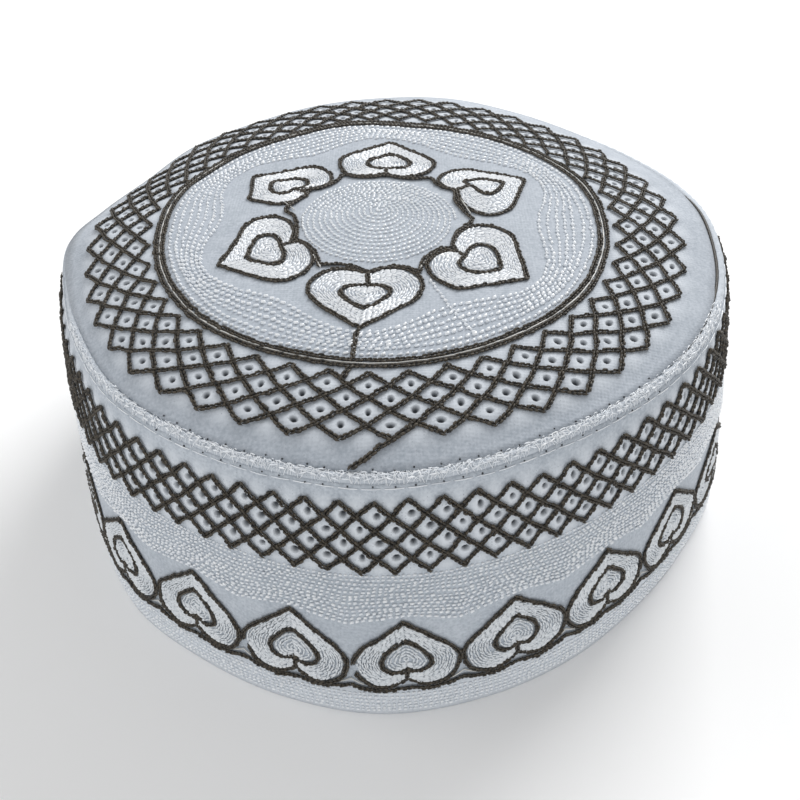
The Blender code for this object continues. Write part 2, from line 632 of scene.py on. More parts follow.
def add_piece(
    name: str, points: Array, faces: Array, material: Material, **numbers: Array
) -> Object:
    """Make a mesh object that rides on the hat.

    Args:
        name: the piece's name.
        points: corner points, one to a row.
        faces: triangles, as rows of three point numbers.
        material: its finish.
        numbers: a number for each point, under the name that the finish reads.

    Returns:
        The new object.
    """
    mesh = bpy.data.meshes.new(name)
    mesh.from_pydata(points, [], faces)
    mesh.materials.append(material)
    mesh.shade_smooth()
    for kind, kept in numbers.items():
        mesh.attributes.new(kind, "FLOAT", "POINT").data.foreach_set(
            "value", kept.astype(np.float32)
        )
    piece = bpy.data.objects.new(name, mesh)
    bpy.context.scene.collection.objects.link(piece)
    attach(piece, "root")
    log.info("%s: %d triangles", name, len(faces))
    return piece


def full_turn(steps: int = 720) -> Array:
    """Return azimuths once round the hat, the first one again at the end."""
    return np.linspace(0, math.tau, steps + 1)


def runs_of(line: Line) -> Array:
    """Return how far along a line each of its points is."""
    steps = np.linalg.norm(np.diff(line, axis=0), axis=1)
    return np.concatenate([[0.0], np.cumsum(steps)])


def evenly(line: Line, count: int) -> Line:
    """Share a line out into evenly spaced points.

    Args:
        line: the line's points.
        count: how many points to return.

    Returns:
        The evenly spaced points.
    """
    run = runs_of(line)
    marks = np.linspace(0, run[-1], count)
    return np.stack([np.interp(marks, run, line[:, k]) for k in range(line.shape[1])], axis=1)


def through(points: Line, per: int = 8) -> Line:
    """Draw a smooth open line through points.

    Args:
        points: the points that it goes through.
        per: how many steps it takes between two points.

    Returns:
        The line's points.
    """
    ends = np.concatenate([2 * points[:1] - points[1:2], points, 2 * points[-1:] - points[-2:-1]])
    part = (np.arange(per) / per)[None, :, None]
    line = bent(*(ends[k : len(ends) - 3 + k, None] for k in range(4)), part)
    return np.concatenate([line.reshape(-1, 2), points[-1:]])


def softened(line: Line, reach: float, step: float = 0.25 * MM) -> Line:
    """Round an open line's corners.

    Args:
        line: the line's points.
        reach: how far along the line the rounding goes.
        step: the distance between the points that are returned.

    Returns:
        The line with rounded corners, in short even steps.
    """
    fine = evenly(line, max(8, int(runs_of(line)[-1] / step)))
    half = max(1, int(reach / step / 2))
    head, tail = (np.repeat(end, half, axis=0) for end in (fine[:1], fine[-1:]))
    padded = np.concatenate([np.zeros((1, 2)), head, fine, tail])
    sums = np.cumsum(padded, axis=0)
    width = 2 * half + 1
    return (sums[width:] - sums[:-width]) / width


def polar(radius: Array, azimuth: Array) -> Line:
    """Return crown chart points at a radius and azimuth."""
    return np.stack([radius * np.cos(azimuth), radius * np.sin(azimuth)], axis=-1)


@dataclass(frozen=True)
class Drift:
    """How far the hand-guided work strays from its even design, in millimetres.

    Each row has an azimuth in degrees, then how far the work slides round the hat and how far it
    shifts across, at each station in turn. Past the two ends the shift fades out.
    """

    radius: float
    stations_mm: tuple[float, ...]
    ends_mm: Pair
    rows: tuple[tuple[float, ...], ...]

    def strayed(self, drawn: Line) -> Line:
        """Carry points from the design to where they were worked.

        Args:
            drawn: points with x round the hat and y across the ring.

        Returns:
            The moved points.
        """
        table = np.array(self.rows)[:, 1:].reshape(len(self.rows), -1, 2)
        fade = np.array((1.0, 0.0))
        table = np.concatenate([table[:, :1] * fade, table, table[:, -1:] * fade], axis=1)
        stations = np.array((self.ends_mm[0], *self.stations_mm, self.ends_mm[1])) * MM
        read = read_round(table, drawn[..., 0] / self.radius)
        y = np.clip(drawn[..., 1], stations[0], stations[-1])
        below = np.clip(np.searchsorted(stations, y, side="right") - 1, 0, len(stations) - 2)
        share = ((y - stations[below]) / (stations[below + 1] - stations[below]))[..., None]
        near = np.take_along_axis(read, below[..., None, None], axis=-2)[..., 0, :]
        far = np.take_along_axis(read, below[..., None, None] + 1, axis=-2)[..., 0, :]
        return drawn + (near + (far - near) * share) * MM


@dataclass(frozen=True)
class Stitch:
    """One stitch's strands, each a row of (along, across, up, thickness) in millimetres.

    Jitter moves the places where stitches meet, as a share of a stitch. A strand's painted shades,
    one to each of its points, run from the light to the dark of its finish.
    """

    length: float
    strands: tuple[tuple[tuple[float, float, float, float], ...], ...]
    sides: int = 4
    sway: float = 5 * DEG
    most_sway: float = 0.3
    unevenness: float = 0.08
    most_uneven: float = 0.2
    jitter: float = 0.0
    painted_shades: tuple[tuple[float, ...], ...] = ()
    shading: float = 0.0


CORD_LINK = Stitch(
    length=1.15 * MM,
    strands=(
        (
            (-0.45, 0.06, 0.10, 0),
            (0.22, 0.31, 0.34, 0.31),
            (0.82, 0.31, 0.38, 0.33),
            (1.45, 0.04, 0.10, 0),
        ),
        (
            (0.05, -0.06, 0.10, 0),
            (0.75, -0.31, 0.39, 0.33),
            (1.35, -0.31, 0.34, 0.31),
            (2.0, -0.04, 0.10, 0),
        ),
    ),
    unevenness=0.14,
    jitter=0.16,
    # Painted shade: each link is darker where the next one meets it, as shade falls between links.
    painted_shades=((0.0, 0.0, 1.0, 0.0), (0.0, 1.0, 0.0, 0.0)),
    shading=0.6,
)
BEAD_GRAIN = Stitch(
    length=1.45 * MM,
    strands=(
        (
            (0.08, -0.14, -0.10, 0),
            (0.36, -0.08, 0.12, 0.37),
            (0.90, 0.08, 0.14, 0.40),
            (1.18, 0.14, -0.10, 0),
        ),
    ),
    sway=9 * DEG,
    unevenness=0.18,
    jitter=0.20,
)
FILL_GRAIN = Stitch(
    length=1.4 * MM,
    strands=(
        (
            (-0.30, -0.05, -0.02, 0),
            (0.30, -0.03, 0.07, 0.36),
            (1.10, 0.03, 0.07, 0.36),
            (1.70, 0.05, -0.02, 0),
        ),
    ),
    sides=3,
    sway=7 * DEG,
    unevenness=0.14,
    jitter=0.38,
)
RUNNING_STITCH = Stitch(
    length=4.5 * MM,
    strands=(
        (
            (0.10, 0.0, -0.1, 0),
            (0.45, 0.03, 0.10, 0.11),
            (2.20, -0.02, 0.13, 0.13),
            (3.90, 0.02, 0.10, 0.11),
            (4.30, 0.0, -0.1, 0),
        ),
    ),
    sides=5,
    sway=1 * DEG,
)
OVERCAST_STRAND = Stitch(length=4.0 * MM, strands=())
SMOOTH_THREAD = Stitch(
    length=6.0 * MM,
    strands=(
        (
            (-0.60, 0.0, 0.02, 0),
            (0.10, 0.03, 0.20, 0.17),
            (3.00, -0.02, 0.24, 0.19),
            (5.90, 0.02, 0.20, 0.17),
            (6.60, 0.0, 0.02, 0),
        ),
    ),
    sides=5,
    sway=0.3 * DEG,
)
# Painted shade: a small dark disc that stands for the shade inside a needle hole.
HOLE_SHADE_DISC = Stitch(
    length=0.5 * MM,
    strands=(
        (
            (-0.24, 0.0, 0.02, 0),
            (-0.1, 0.0, 0.05, 0.2),
            (0.1, 0.0, 0.05, 0.2),
            (0.24, 0.0, 0.02, 0),
        ),
    ),
    sides=6,
)


def spun(points: Array, ups: Array, thickness: Array, sides: int) -> tuple[Array, Array]:
    """Spin many strands at once, each pointed at both ends.

    Args:
        points: strands by points by xyz.
        ups: which way is out of the cloth, in the same layout.
        thickness: each point's radius, strands by points.
        sides: how many sides a strand has.

    Returns:
        The corner points and the triangles.
    """
    count, steps = points.shape[:2]
    along = unit(np.gradient(points, axis=1))
    across = unit(np.cross(ups, along))
    out = np.cross(along, across)
    angle = math.pi / 2 + math.tau * np.arange(sides) / sides
    side, up = across[:, 1:-1, None], out[:, 1:-1, None]
    spoke = side * np.cos(angle)[:, None] + up * np.sin(angle)[:, None]
    rings = points[:, 1:-1, None] + spoke * thickness[:, 1:-1, None, None]
    corners = np.concatenate([points[:, :1], rings.reshape(count, -1, 3), points[:, -1:]], axis=1)
    last = 1 + (steps - 2) * sides
    faces = []
    for k in range(sides):
        n = (k + 1) % sides
        faces.append((0, 1 + n, 1 + k))
        faces.append((last, last - sides + k, last - sides + n))
        for ring in range(steps - 3):
            a, b = 1 + ring * sides + k, 1 + ring * sides + n
            faces += [(a, b, b + sides), (a, b + sides, a + sides)]
    start = (np.arange(count) * corners.shape[1])[:, None, None]
    return corners.reshape(-1, 3), (np.array(faces)[None] + start).reshape(-1, 3)


class Needlework:
    """Lays stitches along drawn lines and joins them into one piece."""

    def __init__(self, name: str, chart: Chart, stitch: Stitch, seed: int) -> None:
        """Start an empty piece.

        Args:
            name: the piece's name.
            chart: the face that it is worked on.
            stitch: the kind of stitch.
            seed: the number that sets how the stitches vary.
        """
        self.name, self.chart, self.stitch = name, chart, stitch
        self.chance = np.random.default_rng(seed)
        self.points: list[Array] = []
        self.ups: list[Array] = []
        self.thickness: list[Array] = []
        self.painted_shades: list[Array] = []

    def follow(self, line: Line, lift: float | Array = 0.0, scale: float = 1.0) -> None:
        """Lay stitches end to end along a line.

        Args:
            line: the drawn line.
            lift: how far out of the cloth they lie, for the line or for each of its points.
            scale: how large the stitches are.
        """
        fine = evenly(line, max(4, int(runs_of(line)[-1] / (0.2 * MM))))
        run = runs_of(line)
        lifts = np.interp(np.linspace(0, run[-1], len(fine)), run, lift + 0 * run)
        facing = self.chart.facing(fine)
        place = self.chart.point(fine) + facing * lifts[:, None]
        travelled = runs_of(place)
        count = max(1, round(travelled[-1] / self.stitch.length / scale))
        marks = np.linspace(0, travelled[-1], count + 1)
        stray = self.stitch.jitter * marks[1]
        marks[1:-1] += self.chance.uniform(-stray, stray, count - 1)
        knots, normals = (
            np.stack([np.interp(marks, travelled, kept[:, k]) for k in range(3)], 1)
            for kept in (place, facing)
        )
        self.lay(knots[:-1], knots[1:], unit(normals)[:-1], scale)

    def _varied(self, spread: float, most: float, count: int) -> Array:
        """Return random numbers of this spread, none further from zero than the most."""
        return np.clip(self.chance.normal(0, spread, (count, 1)), -most, most)

    def lay(self, starts: Array, ends: Array, normals: Array, scale: float = 1.0) -> None:
        """Lay one stitch from each start to its end.

        Args:
            starts: where the stitches begin on the hat.
            ends: where they end.
            normals: which way is out of the cloth.
            scale: how large the stitches are across.
        """
        stitch, count = self.stitch, len(starts)
        reach = np.linalg.norm(ends - starts, axis=1, keepdims=True)
        along = unit(ends - starts)
        across = unit(np.cross(normals, along))
        normals = np.cross(along, across)
        sway = self._varied(stitch.sway, stitch.most_sway, count)
        along, across = along + across * sway, across - along * sway
        stretch = (reach / stitch.length)[:, None]
        for which, strand in enumerate(stitch.strands):
            shape = np.array(strand) * MM
            size = scale * (1 + self._varied(stitch.unevenness, stitch.most_uneven, count))
            points = (
                starts[:, None]
                + along[:, None] * (shape[:, 0][None, :, None] * stretch)
                + across[:, None] * (shape[:, 1][None] * size)[..., None]
                + normals[:, None] * (shape[:, 2][None] * size)[..., None]
            )
            shade = stitch.painted_shades[which] if stitch.painted_shades else 0.0
            ups = np.repeat(normals[:, None], len(shape), 1)
            self.add(points, ups, shape[:, 3][None] * size, np.array(shade))

    def add(self, points: Array, ups: Array, thickness: Array, shade: Array | float = 0.0) -> None:
        """Keep some ready-made strands.

        Args:
            points: strands by points by xyz.
            ups: which way is out of the cloth, in the same layout.
            thickness: each point's radius.
            shade: each point's painted shade.
        """
        self.points.append(points)
        self.ups.append(ups)
        self.thickness.append(thickness + np.zeros(points.shape[:2]))
        self.painted_shades.append(shade + np.zeros(points.shape[:2]))

    def build(self, material: Material) -> Object:
        """Join all that was laid into one piece.

        Args:
            material: its finish.

        Returns:
            The new object.
        """
        points, ups = np.concatenate(self.points), np.concatenate(self.ups)
        corners, faces = spun(points, ups, np.concatenate(self.thickness), self.stitch.sides)
        # A strand's tone is partly random and partly its painted shade.
        own, part = self.chance.random((len(points), 1)), self.stitch.shading
        tones = own * (1 - part) + np.concatenate(self.painted_shades) * part
        tones = [tones[:, :1], np.repeat(tones[:, 1:-1], self.stitch.sides, axis=1), tones[:, -1:]]
        tone = np.concatenate(tones, axis=1).ravel()
        return add_piece(self.name, corners, faces, material, tone=tone)


@dataclass(frozen=True)
class Lattice:
    """A ring of diamonds, drawn with x round the hat and y across the ring."""

    count: int
    radius: float
    first: float
    top: float
    row: float
    drift: Drift
    rows: int = 5
    wander: float = 0.09 * MM
    turns: tuple[int, int] = (31, 47)
    steps: int = 8
    margin: float = 0.6

    @property
    def pitch(self) -> float:
        """Return the distance between two tips."""
        return math.tau * self.radius / self.count

    def strayed(self, drawn: Line) -> Line:
        """Let drawn points stray a little, as work guided by hand does.

        Args:
            drawn: points as designed.

        Returns:
            Points as worked.
        """
        drawn = self.drift.strayed(drawn)
        turn, deep = drawn[..., 0] / self.radius, drawn[..., 1] / self.row
        low, high = self.turns
        # Two waves each way, whose slants and phases are as good as any
        x = np.sin(low * turn + 1.1 * deep) + np.sin(high * turn - 0.9 * deep + 1.3)
        y = np.sin(low * turn - 1.3 * deep + 2.1) + np.sin(high * turn + 0.7 * deep + 4.0)
        return drawn + np.stack([x, y], axis=-1) * self.wander

    def legs(self, side: int) -> list[Line]:
        """Draw the straight legs that run from the outer tips to the inner ones.

        Args:
            side: 1 for those that go on round the hat, -1 for those that cross them.

        Returns:
            The legs as worked.
        """
        deep = np.linspace(0, self.rows, self.steps * self.rows + 1)
        tips = self.first + np.arange(self.count) * self.pitch
        y = self.top + deep * self.row
        return [self.strayed(np.stack([tip + side * deep / 2 * self.pitch, y], 1)) for tip in tips]

    def eyelets(self) -> list[Pair]:
        """Return the middles of the diamonds in one repeat."""
        return [
            (self.first + (deep + 1) % 2 * self.pitch / 2, self.top + deep * self.row)
            for deep in range(1, self.rows)
        ]

    def puff(self, drawn: Line) -> Array:
        """Return how puffed the cloth is, which also sets how much painted light it gets.

        Args:
            drawn: points as designed.

        Returns:
            Shares from 0 under the cords to 1 in the middle of a diamond.
        """
        x = (drawn[..., 0] - self.first) / self.pitch
        deep = (drawn[..., 1] - self.top) / self.row
        inside = np.minimum(deep + self.margin, self.rows + self.margin - deep)
        cell = np.abs(np.sin(math.pi * (x - deep / 2)) * np.sin(math.pi * (x + deep / 2)))
        return cell * np.clip(inside, 0, 1)


@dataclass(frozen=True)
class Eyelet:
    """A punched eyelet: rings of (radius, depth, painted shade) in millimetres, then its bottom."""

    rings: tuple[tuple[float, float, float], ...] = (
        (1.15, 0.0, 0.0),
        (0.92, 0.08, 0.08),
        (0.74, 0.34, 0.34),
        (0.52, 0.80, 0.72),
        (0.30, 1.15, 1.0),
    )
    bottom: Pair = (1.3, 1.0)
    sides: int = 10
    clear: float = 1.45 * MM
    aside: Pair = (0.0, 0.0)


def triangulated(points: list[Vector]) -> Array:
    """Join points of the plane with Delaunay triangles.

    Args:
        points: the points, in millimetres.

    Returns:
        The triangles, as rows of three point numbers.
    """
    made = delaunay_2d_cdt(points, [], [], 0, 1e-5)
    origins = [origin[0] for origin in made[3]]
    return np.array([[origins[v] for v in face] for face in made[2]])


@dataclass
class ClothSheet:
    """The strip of a cloth's outer face that holds its lattice, meshed once and then repeated.

    Low and high are where the strip starts and ends across the ring, and the seed sets how its
    eyelets vary.
    """

    lattice: Lattice
    eyelet: Eyelet
    low: float
    high: float
    seed: int
    columns: int = 6
    grain: float = 1.75 * MM
    sliver: float = 2e-3
    size_spread: float = 0.2
    shift_spread: float = 0.22

    @property
    def middles(self) -> Array:
        """Return the middles of the eyelets in one repeat."""
        return np.array(self.lattice.eyelets()) + np.array(self.eyelet.aside)

    def _repeat(self) -> tuple[Array, Array, Array, Array, Array, int]:
        """Mesh one repeat of the lattice.

        Returns:
            Points, triangles, depths, painted shades, the eyelet number of each point or -1, and
            how many points stand on the left edge, which come first, as many as on the right edge,
            which come last.
        """
        pitch = self.lattice.pitch
        left = self.lattice.first - pitch / 4 + self.eyelet.aside[0]
        rows = np.linspace(self.low, self.high, round((self.high - self.low) / self.grain) + 1)
        middles = self.middles
        points = [(left, y) for y in rows]
        for number, y in enumerate(rows):
            edge = number in (0, len(rows) - 1)
            slip = 0 if edge or number % 2 else 0.5
            for k in range(1, self.columns + (1 if slip else 0)):
                x = left + (k - slip) * pitch / self.columns
                far = np.hypot(middles[:, 0] - x, middles[:, 1] - y).min()
                if edge or far > self.eyelet.clear:
                    points.append((x, y))
        plain = (0.0, 0.0, -1)
        kinds = [plain] * len(points)
        for number, (x, y) in enumerate(middles):
            for ring, (radius, depth, shade) in enumerate(self.eyelet.rings):
                for k in range(self.eyelet.sides):
                    angle = math.tau * (k + 0.5 * (ring % 2)) / self.eyelet.sides
                    points.append(
                        (x + radius * MM * math.cos(angle), y + radius * MM * math.sin(angle))
                    )
                    kinds.append((depth * MM, shade, number))
            points.append((x, y))
            kinds.append((self.eyelet.bottom[0] * MM, self.eyelet.bottom[1], number))
        points += [(left + pitch, y) for y in rows]
        kinds += [plain] * len(rows)
        scale = 1 / MM
        faces = triangulated([Vector(point) * scale for point in points])
        first, second, third = (np.array(points)[faces[:, k]] * scale for k in range(3))
        (ax, ay), (bx, by) = (second - first).T, (third - first).T
        faces = faces[np.abs(ax * by - ay * bx) > self.sliver]
        depth, shade, number = (np.array(column) for column in zip(*kinds))
        return np.array(points), faces, depth, shade, number.astype(int), len(rows)

    def strip(self) -> tuple[Line, Array, Array, Array, Array, Array]:
        """Repeat the mesh all the way round.

        Returns:
            Chart points, triangles, depths, painted shades, and the numbers of the points on the
            low and the high edge in order round the hat.
        """
        chance = np.random.default_rng(self.seed)
        points, faces, depth, shade, number, edge = self._repeat()
        kept, count = len(points) - edge, self.lattice.count
        turn = np.arange(count)[:, None]
        spread = np.repeat(points[None, :kept], count, axis=0)
        spread[..., 0] += turn * self.lattice.pitch
        for k, middle in enumerate(self.middles):
            mine = np.flatnonzero(number[:kept] == k)
            size = 1 + chance.uniform(-self.size_spread, self.size_spread, (count, 1, 2))
            shift = chance.uniform(-self.shift_spread, self.shift_spread, (count, 1, 2)) * MM
            place = middle + np.concatenate([turn * self.lattice.pitch, 0 * turn], 1)[:, None]
            spread[:, mine] = place + (points[mine] - middle) * size + shift
        numbers = np.arange(len(points))
        after = numbers >= kept
        names = (numbers - kept * after)[None] + kept * ((turn + after[None]) % count)
        triangles = names[:, faces].reshape(-1, 3)
        edges = []
        for y in (self.low, self.high):
            mine = np.flatnonzero(np.abs(points[:kept, 1] - y) < 1e-7)
            mine = mine[np.argsort(points[mine, 0])]
            edges.append((mine[None] + kept * turn).ravel())
        depths, painted_shades = (np.tile(kind[:kept], count) for kind in (depth, shade))
        return spread.reshape(-1, 2), triangles, depths, painted_shades, *edges


def bridge(first: Array, second: Array) -> Array:
    """Join two rings of as many points with triangles.

    Args:
        first: point numbers round one ring.
        second: point numbers round the other.

    Returns:
        The triangles between them.
    """
    a, b = first, np.roll(first, -1)
    c, d = second, np.roll(second, -1)
    return np.concatenate([np.stack([a, b, d], 1), np.stack([a, d, c], 1)])


def outward(points: Array, faces: Array, away: Array) -> Array:
    """Wind triangles so that they look away from a point.

    Args:
        points: corner points.
        faces: triangles.
        away: the point, or one for each triangle.

    Returns:
        The triangles, all turned over where most of them looked the wrong way.
    """
    a, b, c = (points[faces[:, k]] for k in range(3))
    looks = np.sum(np.cross(b - a, c - a) * (a - away))
    return faces if looks > 0 else faces[:, ::-1]


@dataclass
class PatternedCloth(ABC):
    """A cloth of the hat: puffed and punched outside, plain inside, and sewn edge to edge."""

    chart: Chart
    lattice: Lattice
    eyelet: Eyelet = Eyelet()
    thickness: float = 2.0 * MM
    puff: float = 0.40 * MM
    sink: float = 0.12 * MM

    @abstractmethod
    def build(self, material: Material) -> Object:
        """Build the cloth."""

    def relief(self, cell: Array, depth: Array) -> Array:
        """Return how far the outer face stands out, given its puff and its eyelets' depth."""
        return cell * self.puff - self.sink * (depth == 0) - depth

    def axis_at(self, height: float) -> Array:
        """Return the point of the outline's axis at a height."""
        return np.array([self.chart.form.axis_x, self.chart.form.axis_y, height])

    def add(
        self,
        name: str,
        points: Array,
        faces: list[Array],
        material: Material,
        shade: Array,
        cell: Array,
    ) -> Object:
        """Make the cloth's mesh, with the numbers that its finish reads.

        Args:
            name: the piece's name.
            points: corner points, the outer face's first.
            faces: the triangles of its sides.
            material: its finish.
            shade: how much painted shade each point of the outer face has.
            cell: how puffed each of them is, which also sets how much painted light it gets.

        Returns:
            The new object.
        """
        rest = np.zeros(len(points) - len(shade))
        pit, painted_light_share = (np.concatenate([kind, rest]) for kind in (shade, cell))
        return add_piece(name, points, np.concatenate(faces), material, pit=pit, cell=painted_light_share)


@dataclass
class CrownCloth(PatternedCloth):
    """The domed crown panel, with an eyelet in every diamond near its edge."""

    inner_edge: float = 57.4 * MM
    outer_edge: float = 81.2 * MM
    overlap: float = 1.25 * MM
    grain: float = 2.3 * MM
    seed: int = 11

    def _disc(self, ring: Line, grain: float) -> tuple[Line, Array]:
        """Fill a ring with a triangle mesh.

        Args:
            ring: chart points round the ring.
            grain: the distance between points.

        Returns:
            The points, the ring's first, and the triangles.
        """
        reach = float(np.hypot(*ring.T).min())
        steps = int(reach / grain) + 1
        rows, columns = np.mgrid[-steps : steps + 1, -steps : steps + 1]
        x = (columns + 0.5 * (rows % 2)).ravel() * grain
        y = rows.ravel() * grain * math.sqrt(3) / 2
        inside = np.hypot(x, y) < reach - grain * 0.6
        points = np.concatenate([ring, np.stack([x[inside], y[inside]], 1)])
        return points, triangulated([Vector(point) / MM for point in points])

    def build(self, material: Material) -> Object:
        """Build the panel.

        Args:
            material: its finish.

        Returns:
            The new object.
        """
        sheet = ClothSheet(self.lattice, self.eyelet, self.inner_edge, self.outer_edge, self.seed)
        drawn, faces, depth, shade, low, high = sheet.strip()
        cell = self.lattice.puff(drawn)
        relief = self.relief(cell, depth)
        strayed = self.lattice.strayed(drawn)
        strayed[low] = self.lattice.drift.strayed(drawn[low])
        strayed[high] = drawn[high]
        relief[low] = relief[high] = 0
        flat = polar(strayed[:, 1], strayed[:, 0] / self.lattice.radius)
        disc, fill = self._disc(flat[low], self.grain)
        names = np.concatenate([low, len(flat) + np.arange(len(disc) - len(low))])
        flat = np.concatenate([flat, disc[len(low) :]])
        relief = np.concatenate([relief, np.zeros(len(disc) - len(low))])
        under, under_fill = self._disc(flat[high], 2 * self.grain)
        reach = self.overlap * covered(np.arctan2(flat[high, 1], flat[high, 0]))
        flat[high] *= 1 + (reach / self.outer_edge)[:, None]
        points = self.chart.point(flat) + self.chart.facing(flat) * relief[:, None]
        below = self.chart.point(under) - self.chart.facing(under) * self.thickness
        away = self.axis_at(-0.2)
        inside = outward(below, under_fill, away)[:, ::-1] + len(points)
        whole = np.concatenate([points, below])
        rim = bridge(high, len(points) + np.arange(len(high)))
        sides = [
            outward(points, faces, away),
            outward(points, names[fill], away),
            inside,
            outward(whole, rim, np.array([0.0, 0.0, 0.07])),
        ]
        piece = self.add("crown_cloth", whole, sides, material, shade, cell)
        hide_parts("crown_panel")
        return piece


@dataclass
class BandCloth(PatternedCloth):
    """The side band, with an eyelet in every diamond below the rim."""

    chart: BandChart
    eyelet: Eyelet = Eyelet(aside=(0.45 * MM, -0.35 * MM))
    puff: float = 0.45 * MM
    top: float = 1.3 * MM
    hem_paleness_and_painted_light: float = 0.75
    hem_top: float = 59.5 * MM
    hem_fade: float = 2 * MM
    inner_rows: int = 12
    seed: int = 12

    def build(self, material: Material) -> Object:
        """Build the band.

        Args:
            material: its finish.

        Returns:
            The new object.
        """
        sheet = ClothSheet(self.lattice, self.eyelet, self.top, self.chart.depth, self.seed)
        drawn, faces, depth, shade, low, high = sheet.strip()
        cell = self.lattice.puff(drawn)
        relief = self.relief(cell, depth)
        # The hem's cloth is mixed paler: partly painted bounce light from the floor, partly the
        # paleness of its dense white rows.
        in_hem = np.clip((drawn[:, 1] - self.hem_top) / self.hem_fade, 0, 1)
        cell = cell + self.hem_paleness_and_painted_light * in_hem
        strayed = self.lattice.strayed(drawn)
        edge = np.concatenate([low, high])
        strayed[edge] = drawn[edge]
        relief[edge] = 0
        points = self.chart.point(strayed) + self.chart.facing(strayed) * relief[:, None]
        wall = np.repeat(strayed[low][None], self.inner_rows, axis=0)
        wall[..., 1] = np.linspace(self.top, self.chart.depth, self.inner_rows)[:, None]
        facing = self.chart.facing(wall)
        facing[..., 2] = 0
        behind = self.chart.point(wall) - unit(facing) * self.thickness
        names = len(points) + np.arange(wall.shape[0] * wall.shape[1]).reshape(wall.shape[:2])
        inner = np.concatenate([bridge(*pair) for pair in zip(names, names[1:])])
        whole = np.concatenate([points, behind.reshape(-1, 3)])
        axis = self.axis_at(0.035)
        sides = [
            outward(whole, faces, axis),
            outward(whole, inner, axis)[:, ::-1],
            outward(whole, bridge(low, names[0]), axis - (0, 0, 1)),
            outward(whole, bridge(high, names[-1]), axis + (0, 0, 1)),
        ]
        piece = self.add("band_cloth", whole, sides, material, shade, cell)
        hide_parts("side_band")
        return piece


